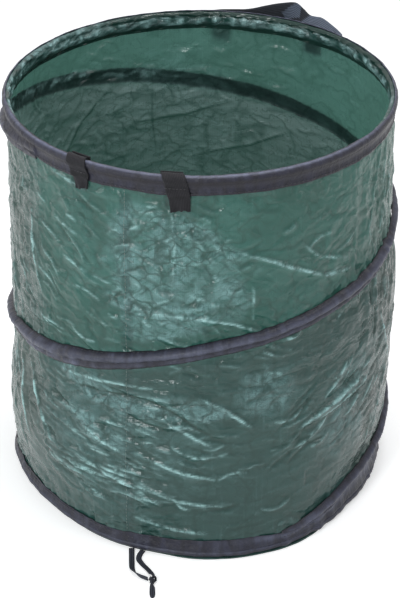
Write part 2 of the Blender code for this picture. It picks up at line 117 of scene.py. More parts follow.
# Materials
class Shade:
    """A material whose nodes are added one call at a time."""

    def __init__(self, name):
        self.material = bpy.data.materials.new(name)
        self.material.use_nodes = True
        self.tree = self.material.node_tree
        self.surface = self.tree.nodes["Principled BSDF"]

    def node(self, kind, **settings):
        item = self.tree.nodes.new(kind)
        for key, value in settings.items():
            setattr(item, key, value)
        return item

    def link(self, source, target):
        self.tree.links.new(source, target)

    def feed(self, socket, value):
        if isinstance(value, bpy.types.NodeSocket):
            self.link(value, socket)
        else:
            socket.default_value = value

    def fill(self, item, **values):
        """Give a node's inputs their values, or links to other nodes, by the inputs' names."""
        for key, value in values.items():
            self.feed(item.inputs[key.replace("_", " ")], value)
        return item

    def uv(self):
        return self.node("ShaderNodeUVMap", uv_map="cloth").outputs["UV"]

    def place(self):
        return self.node("ShaderNodeTexCoord").outputs["Object"]

    def stretched(self, vector, scale, turn=0.0):
        """Coordinates turned by an angle in degrees and then scaled."""
        item = self.node("ShaderNodeMapping", vector_type="TEXTURE")
        self.fill(item, Vector=vector, Rotation=(0.0, 0.0, math.radians(turn)),
                  Scale=[1.0 / value for value in scale])
        return item.outputs["Vector"]

    def noise(self, vector, scale, detail=3.0, roughness=0.5, distortion=0.0):
        item = self.fill(self.node("ShaderNodeTexNoise"), Vector=vector, Scale=scale, Detail=detail,
                         Roughness=roughness, Distortion=distortion)
        return item.outputs["Fac"]

    def cracks(self, vector, scale):
        item = self.node("ShaderNodeTexVoronoi", feature="DISTANCE_TO_EDGE")
        return self.fill(item, Vector=vector, Scale=scale, Randomness=1.0).outputs["Distance"]

    def bent(self, vector, scale, reach):
        """Coordinates pushed about by noise, so that lines in them wander."""
        push = self.fill(self.node("ShaderNodeTexNoise"), Vector=vector, Scale=scale)
        item = self.node("ShaderNodeVectorMath", operation="MULTIPLY_ADD")
        self.link(push.outputs["Color"], item.inputs[0])
        item.inputs[1].default_value = (reach, reach, 0.0)
        self.link(vector, item.inputs[2])
        return item.outputs[0]

    def fold(self, vector, scale, detail=2.0, turn=0.0):
        """Slopes that meet in sharp wandering creases, as in crumpled film; 0 in each crease."""
        level = self.noise(self.stretched(vector, scale, turn), 1.0, detail, 0.5, 0.3)
        return self.math("ABSOLUTE", self.math("SUBTRACT", level, 0.5))

    def total(self, *values):
        summed = values[0]
        for value in values[1:]:
            summed = self.math("ADD", summed, value)
        return summed

    def waves(self, vector, period, direction):
        item = self.node("ShaderNodeTexWave", wave_type="BANDS", bands_direction=direction)
        return self.fill(item, Vector=vector, Scale=math.tau / 20.0 / period).outputs["Fac"]

    def math(self, operation, first, second=0.0, clamp=False):
        item = self.node("ShaderNodeMath", operation=operation, use_clamp=clamp)
        for socket, value in zip(item.inputs, (first, second)):
            self.feed(socket, value)
        return item.outputs[0]

    def times(self, first, second, clamp=False):
        return self.math("MULTIPLY", first, second, clamp=clamp)

    def ramp(self, value, low, high, to_low=0.0, to_high=1.0):
        item = self.node("ShaderNodeMapRange", interpolation_type="SMOOTHSTEP")
        self.fill(item, Value=value, From_Min=low, From_Max=high, To_Min=to_low, To_Max=to_high)
        return item.outputs["Result"]

    def mix(self, factor, first, second):
        item = self.node("ShaderNodeMix", data_type="RGBA")
        self.feed(item.inputs["Factor"], factor)
        self.feed(item.inputs[6], first)
        self.feed(item.inputs[7], second)
        return item.outputs[2]

    def attribute(self, name):
        return self.node("ShaderNodeAttribute", attribute_name=name).outputs["Fac"]

    def bump(self, height, distance, strength=1.0, under=None):
        item = self.fill(self.node("ShaderNodeBump"), Height=height, Distance=distance, Strength=strength)
        if under is not None:
            self.link(under, item.inputs["Normal"])
        return item.outputs["Normal"]

    def finish(self, color, roughness, normal, **constants):
        self.fill(self.surface, Base_Color=color, Roughness=roughness, Normal=normal, **constants)
        return self.material


def tint(red, green, blue):
    return (red, green, blue, 1.0)


def cloth_material(name, deep, light, haze, gloss, glow):
    """Coated woven cloth: flat yarns, glossy facets between sharp creases, and light through it."""
    shade = Shade(name)
    uv = shade.uv()
    crushed = shade.attribute("haze")
    level_part = shade.attribute("level")
    through = shade.attribute("through")
    warp = shade.waves(uv, yarn_period, "X")
    weft = shade.waves(uv, yarn_period, "Y")
    weave = shade.math("MAXIMUM", warp, weft)
    broad = shade.noise(uv, 9.0, 4.0, 0.55)
    fine = shade.noise(uv, 60.0, 5.0, 0.6, 0.8)
    streak = shade.noise(shade.stretched(uv, (140.0, 9.0, 1.0)), 1.0, 3.0, 0.6)
    wandering = shade.bent(uv, 50.0, 0.014)
    wide_folds = shade.fold(wandering, (17.0, 21.0, 1.0))
    small_folds = shade.fold(wandering, (52.0, 66.0, 1.0), 3.0)
    level_folds = shade.fold(wandering, (7.0, 46.0, 1.0), 3.0)
    falling_folds = shade.fold(wandering, (8.0, 38.0, 1.0), 2.0, -32.0)
    rising_folds = shade.fold(wandering, (6.0, 34.0, 1.0), 2.0, 24.0)
    upper_part = shade.ramp(level_part, 0.0, 1.0, 1.0, 0.35)
    cells = shade.cracks(shade.stretched(shade.bent(wandering, 30.0, 0.030), (0.75, 1.0, 1.0)), 62.0)
    chips = shade.cracks(shade.bent(wandering, 160.0, 0.006), 170.0)

    mild = shade.ramp(crushed, 0.0, 1.0, 0.25, 1.0)
    within = shade.node("ShaderNodeNewGeometry").outputs["Backfacing"]
    height = shade.total(
        shade.times(wide_folds, 0.0115),
        shade.times(shade.times(small_folds, mild), 0.0030),
        shade.times(shade.times(falling_folds, upper_part), -0.0066),
        shade.times(rising_folds, -0.0056),
        shade.times(shade.times(level_folds, level_part), -0.0060),
        shade.times(shade.times(shade.math("MINIMUM", cells, 0.30), crushed), 0.0026),
        shade.times(shade.times(shade.math("MINIMUM", chips, 0.20), crushed), 0.0007))

    color = shade.mix(shade.ramp(broad, 0.32, 0.70), deep, light)
    # painted shade: the wall below the spiral's first turn is darker and greyer
    color = shade.mix(shade.times(level_part, 0.60), color, tint(0.024, 0.046, 0.048))
    color = shade.mix(shade.ramp(streak, 0.55, 0.85, 0.0, 0.15), color, haze)
    # painted sheen: the crushed patches are painted paler
    color = shade.mix(shade.times(crushed, shade.ramp(fine, 0.28, 0.66, 0.10, 1.0)), color, haze)
    # painted reflection: a warm grey reflection of the surroundings at the wall's left and right sides
    color = shade.mix(shade.times(shade.attribute("dust"), 0.75), color, tint(0.125, 0.116, 0.100))
    # painted highlight along fold crests, weaker on the inside; the field also holds paler sharp ridges of
    # the cloth
    crest = shade.times(shade.attribute("wear"), shade.ramp(fine, 0.36, 0.60, 0.10, 1.0), clamp=True)
    color = shade.mix(shade.times(crest, shade.ramp(within, 0.0, 1.0, 1.0, 0.7)), color,
                      tint(0.420, 0.690, 0.690))
    # the inside is painted paler and greyer, most towards the bottom: dust, and a painted sheen
    dusty = shade.ramp(level_part, 0.0, 1.0, 0.15, 0.70)
    inside = shade.times(within, dusty)
    color = shade.mix(inside, color, tint(0.340, 0.420, 0.420))
    # painted shade: darker in hollows and fold valleys, along the crack lines and chips of crushed
    # patches, and along the creases of the small and wide folds
    dark_crease = tint(0.0128, 0.038, 0.032)
    color = shade.mix(shade.times(shade.attribute("hollow"), 0.75, clamp=True), color, dark_crease)
    broken = shade.ramp(broad, 0.36, 0.54)
    line = shade.times(shade.ramp(cells, 0.0, 0.12, 0.95, 0.0), shade.times(crushed, broken))
    color = shade.mix(line, color, dark_crease)
    chip_line = shade.times(shade.ramp(chips, 0.0, 0.09, 0.45, 0.0), shade.ramp(fine, 0.5, 0.62))
    color = shade.mix(shade.times(chip_line, crushed), color, dark_crease)
    color = shade.mix(shade.ramp(small_folds, 0.0, 0.020, 0.45, 0.0), color, dark_crease)
    color = shade.mix(shade.ramp(wide_folds, 0.0, 0.050, 0.45, 0.0), color, dark_crease)
    # painted shade where the spiral's tape, the sewn ends and the seam behind the cloth block the light
    # through it
    color = shade.mix(shade.times(through, 0.80), color, tint(0.0160, 0.0272, 0.0272))
    color = shade.mix(shade.ramp(weave, 0.25, 0.9, 0.22, 0.0), color, deep)

    calm = shade.attribute("calm")
    height = shade.times(height, shade.ramp(within, 0.0, 1.0, 1.0, 0.45))
    height = shade.times(height, shade.ramp(calm, 0.0, 1.0, 1.0, 0.22))
    normal = shade.bump(height, 1.0)
    normal = shade.bump(weave, 0.00008, 0.6, normal)
    normal = shade.bump(fine, 0.0006, 0.5, normal)
    roughness = shade.ramp(fine, 0.25, 0.8, gloss, gloss + 0.08)
    shade.finish(color, roughness, normal, Specular_IOR_Level=0.40, Sheen_Weight=0.03,
                 Sheen_Roughness=0.18, Sheen_Tint=(1.0, 0.76, 0.64, 1.0))
    behind = shade.node("ShaderNodeBsdfTranslucent")
    # the light passed through the cloth is darkened by the same painted shade
    passed = shade.mix(shade.times(through, 0.85), glow, tint(0.032, 0.048, 0.048))
    shade.link(passed, behind.inputs["Color"])
    both = shade.node("ShaderNodeMixShader")
    shade.link(shade.ramp(level_part, 0.0, 1.0, 0.18, 0.08), both.inputs[0])
    shade.link(shade.surface.outputs[0], both.inputs[1])
    shade.link(behind.outputs[0], both.inputs[2])
    shade.link(both.outputs[0], shade.tree.nodes["Material Output"].inputs["Surface"])
    return shade.material


def tape_material(name, deep, light):
    """Satin binding tape with a fine rib across it and gathers, a painted highlight along its crest, and
    painted shade in its hollows and gather creases.
    """
    shade = Shade(name)
    uv = shade.uv()
    rib = shade.waves(uv, 0.0011, "X")
    cross = shade.waves(uv, 0.0009, "Y")
    broad = shade.noise(shade.stretched(uv, (90.0, 25.0, 1.0)), 1.0, 4.0, 0.55, 0.5)
    fine = shade.noise(uv, 420.0, 3.0, 0.6)
    gathers = shade.fold(shade.bent(uv, 60.0, 0.008), (85.0, 60.0, 1.0), 3.0)
    color = shade.mix(shade.ramp(broad, 0.30, 0.72), deep, light)
    color = shade.mix(shade.ramp(fine, 0.4, 0.8, 0.0, 0.25), color, tint(0.096, 0.086, 0.096))
    # painted highlight along the tape's crest and on raised gathers
    crest = shade.times(shade.attribute("wear"), shade.ramp(broad, 0.30, 0.70, 0.55, 1.0), clamp=True)
    color = shade.mix(crest, color, tint(0.175, 0.190, 0.275))
    # painted shade in the tape's hollows and in the creases of its gathers
    color = shade.mix(shade.times(shade.attribute("hollow"), 0.85, clamp=True), color,
                      tint(0.0080, 0.0064, 0.0096))
    color = shade.mix(shade.ramp(gathers, 0.0, 0.03, 0.25, 0.0), color, tint(0.0096, 0.0080, 0.0112))
    color = shade.mix(shade.ramp(rib, 0.1, 0.7, 0.3, 0.0), color, deep)
    normal = shade.bump(gathers, 0.0022)
    normal = shade.bump(shade.times(rib, cross), 0.00008, 1.0, normal)
    roughness = shade.ramp(broad, 0.25, 0.8, 0.36, 0.48)
    return shade.finish(
        color, roughness, normal, Specular_IOR_Level=0.30, Sheen_Weight=0.02, Sheen_Roughness=0.35,
        Sheen_Tint=(0.75, 0.74, 0.90, 1.0))


def webbing_material(name, deep, light, rib_period):
    """Ribbed webbing: raised ribs along it, crossed by the weft, with fuzz on the edges."""
    shade = Shade(name)
    uv = shade.uv()
    rib = shade.waves(uv, rib_period, "Y")
    weft = shade.waves(uv, 0.0014, "X")
    fuzz = shade.noise(uv, 900.0, 3.0, 0.65)
    broad = shade.noise(uv, 45.0, 3.0, 0.5)
    twill = shade.times(rib, shade.ramp(weft, 0.0, 1.0, 0.55, 1.0))
    faded = shade.attribute("faded")
    color = shade.mix(shade.ramp(twill, 0.08, 0.65), deep, light)
    fuzz_tone = [1.6 * value for value in light[:3]] + [1.0]
    color = shade.mix(shade.ramp(fuzz, 0.45, 0.8, 0.0, 0.30), color, fuzz_tone)
    color = shade.mix(shade.ramp(broad, 0.4, 0.75, 0.0, 0.35), color, deep)
    # painted shade: faces not marked as lit are painted near-black
    color = shade.mix(shade.ramp(faded, 0.0, 1.0, 0.86, 0.0), color, tint(0.0112, 0.0112, 0.0128))
    normal = shade.bump(twill, 0.0003)
    normal = shade.bump(fuzz, 0.0001, 0.5, normal)
    roughness = shade.ramp(fuzz, 0.3, 0.7, 0.55, 0.75)
    return shade.finish(
        color, roughness, normal, Specular_IOR_Level=0.18, Sheen_Weight=0.04, Sheen_Roughness=0.5,
        Sheen_Tint=(0.78, 0.82, 0.92, 1.0))


def steel_material(name, color, rough_low, rough_high, stretch):
    """Drawn steel: fine lines along it, faint stains."""
    shade = Shade(name)
    place = shade.place()
    lines = shade.noise(shade.stretched(place, stretch), 40.0, 4.0, 0.6)
    stain = shade.noise(place, 25.0, 3.0, 0.5)
    shown = shade.mix(shade.ramp(stain, 0.45, 0.8, 0.0, 0.5), color, tint(0.20, 0.17, 0.14))
    normal = shade.bump(lines, 0.00006)
    roughness = shade.ramp(lines, 0.3, 0.7, rough_low, rough_high)
    return shade.finish(shown, roughness, normal, Metallic=1.0)


def thread_material(name, color):
    """Twisted sewing thread."""
    shade = Shade(name)
    twist = shade.noise(shade.place(), 1800.0, 2.0, 0.5)
    shown = shade.mix(shade.ramp(twist, 0.35, 0.7, 0.0, 0.5), color, tint(0.032, 0.032, 0.040))
    normal = shade.bump(twist, 0.0001)
    return shade.finish(shown, shade.ramp(twist, 0.3, 0.7, 0.45, 0.65), normal, Sheen_Weight=0.2)


# pale tone of faint streaks and of the painted sheen on crushed cloth
haze_tone = tint(0.250, 0.450, 0.460)
leaf_glow = tint(0.160, 0.420, 0.330)
cloth = cloth_material(
    "green_cloth_worn", tint(0.0185, 0.080, 0.066), tint(0.034, 0.124, 0.106), haze_tone, 0.20, leaf_glow)
# the hem's pale tone is its painted sheen and highlight band
hem_cloth = cloth_material(
    "hem_cloth_worn", tint(0.0140, 0.050, 0.042), tint(0.040, 0.110, 0.100), tint(0.40, 0.56, 0.58), 0.15,
    leaf_glow)
base_cloth = cloth_material(
    "base_cloth_worn", tint(0.0192, 0.072, 0.058), tint(0.038, 0.120, 0.096), haze_tone, 0.26, leaf_glow)
tape = tape_material("dark_tape_worn", tint(0.0080, 0.0080, 0.0150), tint(0.0240, 0.0255, 0.0480))
# a lighter, bluer copy of the tabs' near-black webbing: the sky's reflection painted on the faces marked
# as lit
webbing = webbing_material("webbing_worn", tint(0.048, 0.058, 0.077), tint(0.152, 0.179, 0.240), 0.0021)
tab_webbing = webbing_material(
    "tab_webbing_worn", tint(0.0080, 0.0080, 0.0096), tint(0.0256, 0.0240, 0.0288), 0.0018)
ribbon = webbing_material(
    "tie_ribbon_worn", tint(0.0170, 0.0175, 0.0230), tint(0.062, 0.066, 0.088), 0.0024)
dark_thread = thread_material("dark_thread", tint(0.0192, 0.0176, 0.0224))
pale_thread = thread_material("pale_thread", tint(0.192, 0.272, 0.248))
spring_steel = steel_material("spring_steel_drawn", tint(0.42, 0.42, 0.44), 0.28, 0.45, (1.0, 1.0, 30.0))
ferrule_steel = steel_material("ferrule_steel_plated", tint(0.55, 0.56, 0.58), 0.22, 0.38, (6.0, 6.0, 6.0))


# Number fields
def value_noise(u, v, cells_u, cells_v, seed):
    """Smooth noise from -1 to 1; u and v run from 0 to 1 and close on themselves."""
    grid = np.random.default_rng(seed).uniform(-1.0, 1.0, (cells_u, cells_v))
    x = np.mod(u, 1.0) * cells_u
    y = np.mod(v, 1.0) * cells_v
    left = np.floor(x).astype(int)
    low = np.floor(y).astype(int)
    fx = x - left
    fy = y - low
    fx = fx * fx * (3.0 - 2.0 * fx)
    fy = fy * fy * (3.0 - 2.0 * fy)
    left, right = left % cells_u, (left + 1) % cells_u
    low, high = low % cells_v, (low + 1) % cells_v
    bottom = grid[left, low] * (1.0 - fx) + grid[right, low] * fx
    top = grid[left, high] * (1.0 - fx) + grid[right, high] * fx
    return bottom * (1.0 - fy) + top * fy


def layered_noise(u, v, cells_u, cells_v, seed, layers=3):
    """Several layers of value noise, each twice as fine and half as strong."""
    total = 0.0
    weight = 1.0
    summed = 0.0
    for layer in range(layers):
        scale = 2 ** layer
        total = total + weight * value_noise(u, v, cells_u * scale, cells_v * scale, seed + layer)
        summed += weight
        weight *= 0.5
    return total / summed


def ridged(noise):
    """Sharp ridges where the noise crosses zero."""
    return 1.0 - np.abs(noise) * 2.0


def facets(u, v, cells_u, cells_v, seed):
    """Flat tilted cells like crushed film: (height from -1 to 1, distance to the cell's edge from 0)."""
    draw = np.random.default_rng(seed)
    jitter = draw.uniform(0.08, 0.92, (cells_u, cells_v, 2))
    tilt = draw.uniform(-1.0, 1.0, (cells_u, cells_v, 2))
    level = draw.uniform(-0.5, 0.5, (cells_u, cells_v))
    x = np.mod(u, 1.0) * cells_u
    y = np.mod(v, 1.0) * cells_v
    column = np.floor(x).astype(int)
    row = np.floor(y).astype(int)
    nearest = np.full(x.shape, 9.0)
    second = np.full(x.shape, 9.0)
    height = np.zeros(x.shape)
    for step_u in (-1, 0, 1):
        for step_v in (-1, 0, 1):
            i = column + step_u
            j = row + step_v
            wi, wj = i % cells_u, j % cells_v
            dx = x - (i + jitter[wi, wj, 0])
            dy = y - (j + jitter[wi, wj, 1])
            distance = np.sqrt(dx * dx + dy * dy)
            closer = distance < nearest
            second = np.where(closer, nearest, np.minimum(second, distance))
            lean = dx * tilt[wi, wj, 0] + dy * tilt[wi, wj, 1] + level[wi, wj]
            height = np.where(closer, lean, height)
            nearest = np.where(closer, distance, nearest)
    return height, second - nearest


def blurred(field, passes):
    """A field that closes on itself in its first direction, smoothed."""
    for _ in range(passes):
        field = (np.roll(field, 1, 0) + 2.0 * field + np.roll(field, -1, 0)) / 4.0
        padded = np.concatenate((field[:, :1], field, field[:, -1:]), 1)
        field = (padded[:, :-2] + 2.0 * padded[:, 1:-1] + padded[:, 2:]) / 4.0
    return field


def smooth_step(value):
    value = np.clip(value, 0.0, 1.0)
    return value * value * (3.0 - 2.0 * value)


# The wall's form
turn_steps = 1080
rise_steps = 240
turn_axis = np.arange(turn_steps) * 360.0 / turn_steps
rise_axis = np.linspace(wall_foot, wall_top, rise_steps + 1)
turn_field, rise_field = np.meshgrid(turn_axis, rise_axis, indexing="ij")

# Swelling of the wall in millimetres, by height for each angle: pinched where the spiral
# wire crosses, full between
swell_heights = (0.0, 0.03, 0.06, 0.09, 0.12, 0.15, 0.18, 0.21, 0.24, 0.28, 0.33, 0.38, 0.43, 0.47, 0.483)
swell_table = (
    (45.0, (2.0, 2.5, 3.0, 1.5, 0.5, 2.0, 4.5, 6.5, 7.5, 6.5, 4.5, 1.0, 1.5, 0.0, 0.0)),
    (90.0, (2.0, 3.5, 5.0, 4.5, 2.0, 0.5, 2.5, 5.0, 7.0, 7.5, 5.5, 2.0, 0.5, 0.0, 0.0)),
    (135.0, (2.0, 4.0, 6.5, 7.0, 5.5, 2.5, 0.5, 2.0, 4.0, 5.0, 5.0, 3.5, 0.5, 0.0, 0.0)),
    (185.0, (2.0, 4.0, 6.5, 8.3, 6.5, 4.0, 0.5, -1.0, 0.5, 0.9, 0.7, 0.5, 0.3, 0.0, 0.0)),
    (230.0, (2.0, 4.0, 6.5, 8.0, 7.5, 5.5, 3.0, 1.0, -0.5, 0.0, 1.0, 1.5, 1.0, 0.0, 0.0)),
    (270.0, (2.0, 3.5, 5.0, 6.5, 7.0, 6.5, 5.5, 4.0, 1.5, -0.5, 1.5, 2.0, 1.0, 0.0, 0.0)),
    (310.0, (2.0, 2.5, 3.5, 5.5, 7.0, 7.5, 7.5, 7.5, 6.5, 3.5, 1.0, 2.0, 1.5, 0.0, 0.0)),
    (355.0, (2.0, 3.0, 4.2, 4.5, 5.8, 6.8, 7.8, 9.5, 11.5, 11.5, 2.0, 1.5, 1.0, 0.0, 0.0)))

# The base hoop lies a little out of round: how far out, in millimetres, by angle
foot_table = (
    (0.0, -8.0), (12.0, -2.0), (30.0, 0.0), (170.0, 0.0), (183.0, -0.5), (191.0, -5.0), (206.0, -8.0),
    (216.0, -9.0), (226.0, -6.8), (236.0, -2.0), (243.0, 1.5), (250.0, 3.5), (261.0, 5.5), (270.0, 9.5),
    (278.0, 10.5), (288.0, 9.5), (294.0, 8.0), (301.0, 5.0), (308.0, 0.5), (315.0, -5.0), (322.0, -9.5),
    (330.0, -11.0), (337.0, -12.0), (347.0, -12.5), (354.0, -10.5))


def foot_pull(angle):
    """How far out of round the base is here, in metres."""
    fine = np.arange(720) * 0.5
    pull = np.interp(fine, [row[0] for row in foot_table], [row[1] for row in foot_table], period=360.0)
    pull = blurred(pull[:, None], 30)[:, 0]
    return np.interp(np.mod(angle, 360.0), fine, pull, period=360.0) * 0.001


def table_field():
    angles = np.array([row[0] for row in swell_table])
    columns = np.array([np.interp(rise_axis, swell_heights, row[1]) for row in swell_table])
    angles = np.concatenate((angles[-1:] - 360.0, angles, angles[:1] + 360.0))
    columns = np.concatenate((columns[-1:], columns, columns[:1]))
    field = np.empty((turn_steps, rise_steps + 1))
    for index in range(rise_steps + 1):
        field[:, index] = np.interp(turn_axis, angles, columns[:, index])
    near_foot = 1.0 - smooth_step(rise_field / 0.13)
    return blurred(field, 60) * 0.001 + foot_pull(turn_field) * near_foot


def spiral_height(run):
    share = run / spiral_sweep
    bend = spiral_steepening
    even = spiral_rise - spiral_fall * ((1.0 - bend) * share + bend * share * share)
    return even - spiral_sag * np.exp(-((run - spiral_sag_run) / 30.0) ** 2)


def spiral_width(run):
    """Half the tape's width, which spreads at the front left."""
    return spiral_half_width * (1.0 + 0.22 * np.exp(-((run - spiral_sag_run) / 24.0) ** 2))


def spiral_sides(angle, height):
    """For each turn of the spiral: the run at this angle, and the place across its tape."""
    for turn in range(2):
        run = np.mod(spiral_start - angle, 360.0) + 360.0 * turn
        side = (height - spiral_height(run)) / spiral_half_width
        yield np.where(run <= spiral_sweep, run, spiral_sweep), np.where(run <= spiral_sweep, side, 99.0)


def below_first_turn(angle, height):
    """1 on the part of the wall that lies below the spiral's first turn, 0 above it."""
    gap = angle_gap(angle, spiral_start)
    past_start = smooth_step(gap / 14.0 + 0.5)
    run = np.mod(spiral_start - angle, 360.0)
    early = smooth_step((spiral_height(np.where(gap > 0.0, 0.0, run)) - height) / 0.02)
    late = smooth_step((spiral_height(np.where(gap < 0.0, 360.0, run)) - height) / 0.02)
    return early * (1.0 - past_start) + late * past_start


# The tape's section, from its lower edge to its upper: place across it, and depth
spiral_section = (
    (-1.02, 0.0), (-0.95, 0.10), (-0.72, 0.34), (-0.42, 0.40), (-0.20, 0.30), (-0.08, 0.50),
    (0.12, 0.86), (0.40, 1.0), (0.68, 0.88), (0.88, 0.50), (0.97, 0.16), (1.03, 0.0))


def spiral_depth_scale(run):
    """The tape is flat where it goes under the rim's tape and under the base's."""
    start = smooth_step((run + 4.0) / 40.0)
    end = smooth_step((spiral_sweep + 6.0 - run) / 30.0)
    return spiral_depth * (0.42 + 0.58 * start) * (0.35 + 0.65 * end)


def spiral_cover(angle, height):
    """How far the spiral's tape stands out from the wall here."""
    cover = np.zeros(np.broadcast(angle, height).shape)
    sides = [item[0] for item in spiral_section]
    depths = [item[1] for item in spiral_section]
    for run, side in spiral_sides(angle, height):
        depth = np.interp(side, sides, depths, left=0.0, right=0.0)
        cover = np.maximum(cover, depth * spiral_depth_scale(run))
    return cover


def angle_gap(angle, middle):
    """Signed degrees from middle, from -180 to 180."""
    return np.mod(angle - middle + 180.0, 360.0) - 180.0


def patch(angle, height, middle_angle, middle_height, half_angle, half_height, softness=0.35):
    """A soft-edged oval patch of the wall, from 0 to 1."""
    x = angle_gap(angle, middle_angle) / half_angle
    y = (height - middle_height) / half_height
    return smooth_step((1.0 + softness - np.sqrt(x * x + y * y)) / (2.0 * softness))


def arc_patch(angle, middle, half_angle, softness=0.35):
    """1 over an arc of the bag, easing to 0 at its ends."""
    return patch(angle, 0.0, middle, 0.0, half_angle, 1.0, softness)


def strongest_patch(rows, turn=turn_field, rise=rise_field):
    strongest = np.zeros(turn_field.shape)
    for middle, height, half_turn, half_rise, amount, softness in rows:
        shown = amount * patch(turn, rise, middle, height, half_turn, half_rise, softness)
        strongest = np.maximum(strongest, shown)
    return strongest


def fold_line(points, width, height, lean=0.0):
    """A fold along a line of (angle, height) points: a tent-shaped ridge, or a valley if height < 0."""
    along = turn_field * math.pi / 180.0 * ring_radius
    best = np.full(turn_field.shape, 9.0)
    sign = np.zeros(turn_field.shape)
    place = np.zeros(turn_field.shape)
    for number, (start, end) in enumerate(zip(points, points[1:])):
        x0 = math.radians(start[0]) * ring_radius
        x1 = math.radians(end[0]) * ring_radius
        dx, dy = x1 - x0, end[1] - start[1]
        length = dx * dx + dy * dy
        px = along - x0
        py = rise_field - start[1]
        share = np.clip((px * dx + py * dy) / length, 0.0, 1.0)
        ox = px - share * dx
        oy = py - share * dy
        distance = np.sqrt(ox * ox + oy * oy)
        closer = distance < best
        best = np.where(closer, distance, best)
        sign = np.where(closer, np.sign(ox * dy - oy * dx), sign)
        place = np.where(closer, (number + share) / (len(points) - 1), place)
    taper = np.sqrt(np.clip(np.sin(np.clip(place, 0.02, 0.98) * math.pi), 0.0, 1.0))
    tent = np.clip(1.0 - best / (width * (1.0 + lean * sign)), 0.0, 1.0) ** 1.4
    return tent * taper * height


# Small folds strewn over the wall: middle angle, half the spread of angles, lowest and highest
# place, how many, the way they run in degrees, how much that varies, the longest one, how bright its
# painted glint is
fold_groups = (
    (225.0, 20.0, 0.27, 0.455, 34, -35.0, 22.0, 0.045, 1.00),
    (262.0, 19.0, 0.29, 0.455, 60, 0.0, 60.0, 0.028, 1.00),
    (300.0, 22.0, 0.27, 0.445, 16, 18.0, 14.0, 0.040, 0.70),
    (337.0, 9.0, 0.25, 0.455, 60, 84.0, 9.0, 0.045, 0.60),
    (255.0, 38.0, 0.235, 0.31, 30, -14.0, 12.0, 0.060, 1.00),
    (240.0, 20.0, 0.06, 0.215, 95, -11.0, 9.0, 0.065, 1.00),
    (258.0, 12.0, 0.03, 0.190, 24, -14.0, 16.0, 0.060, 1.00),
    (287.0, 18.0, 0.03, 0.190, 12, 8.0, 12.0, 0.060, 1.00),
    (316.0, 20.0, 0.11, 0.225, 34, 34.0, 12.0, 0.065, 1.00),
    (342.0, 12.0, 0.07, 0.40, 26, 72.0, 15.0, 0.055, 0.45),
    (206.0, 12.0, 0.07, 0.44, 30, -74.0, 14.0, 0.060, 0.60),
    (90.0, 70.0, 0.03, 0.39, 130, 0.0, 60.0, 0.045, 0.40),
    (90.0, 60.0, 0.40, 0.455, 30, 5.0, 8.0, 0.050, 0.40),
    (170.0, 25.0, 0.03, 0.44, 40, 60.0, 30.0, 0.050, 0.35))


def strew_folds(outward, crest):
    """Add the small folds to the wall's form, and to the crest field a painted highlight along each raised
    fold and painted shade along each sunken one.
    """
    draw = np.random.default_rng(77)
    for middle, half_angle, low, high, count, slope, spread, longest, paleness in fold_groups:
        for _ in range(count):
            angle = middle + half_angle * draw.uniform(-1.0, 1.0)
            height = draw.uniform(low, high)
            lean = math.radians(slope + spread * draw.uniform(-1.0, 1.0))
            length = longest * draw.uniform(0.3, 1.0)
            bow = length * draw.uniform(-0.16, 0.16)
            width = draw.uniform(0.0024, 0.0058)
            rises = draw.uniform() < 0.7
            size = width * draw.uniform(0.26, 0.46) * (1.0 if rises else -1.0)
            glint = paleness * draw.uniform(0.15, 1.0) ** 1.5 * (1.0 if rises else -1.0)
            reach = length / 2.0 + width
            turn_reach = int(math.degrees(reach / ring_radius) / 360.0 * turn_steps) + 1
            centre = int(angle / 360.0 * turn_steps)
            columns = np.arange(centre - turn_reach, centre + turn_reach + 1) % turn_steps
            rows = np.nonzero(np.abs(rise_axis - height) < reach)[0]
            if not len(rows):
                continue
            x = np.radians(angle_gap(turn_axis[columns], angle))[:, None] * ring_radius
            y = (rise_axis[rows] - height)[None]
            along = x * math.cos(lean) + y * math.sin(lean)
            place = np.clip(along / length + 0.5, 0.0, 1.0)
            aside = -x * math.sin(lean) + y * math.cos(lean) - bow * np.sin(place * math.pi)
            beyond = np.clip(np.abs(along) - length / 2.0, 0.0, 1.0)
            distance = np.sqrt(aside * aside + beyond * beyond)
            taper = np.sqrt(np.clip(np.sin(place * math.pi), 0.0, 1.0))
            window = np.ix_(columns, rows)
            outward[window] += size * taper * np.clip(1.0 - distance / width, 0.0, 1.0) ** 1.3
            # painted highlight along a raised fold's crest, painted shade along a sunken fold
            crest[window] += glint * taper * np.exp(-(distance / 0.0013) ** 2)


# Where the cloth is crushed, with a paler painted sheen: middle angle and height, half the reach in
# degrees and in metres, strength, softness of the edge
ragged_patches = (
    (252.0, 0.392, 9.5, 0.064, 0.85, 0.16), (268.0, 0.372, 11.5, 0.074, 1.0, 0.16),
    (262.0, 0.333, 19.0, 0.034, 1.0, 0.16), (279.0, 0.350, 6.0, 0.045, 0.7, 0.16),
    (257.0, 0.300, 12.0, 0.020, 0.7, 0.16))
falling_patches = ((236.0, 0.205, 13.0, 0.020, 0.8, 0.3), (239.0, 0.155, 11.0, 0.014, 0.7, 0.3))
crushed_patches = (
    (100.0, 0.33, 24.0, 0.10, 0.45, 0.35), (246.0, 0.13, 24.0, 0.08, 0.22, 0.35),
    (262.0, 0.196, 16.0, 0.016, 0.7, 0.2), (290.0, 0.215, 9.0, 0.03, 0.55, 0.35),
    (330.0, 0.15, 22.0, 0.07, 0.5, 0.35), (150.0, 0.2, 40.0, 0.12, 0.45, 0.35))


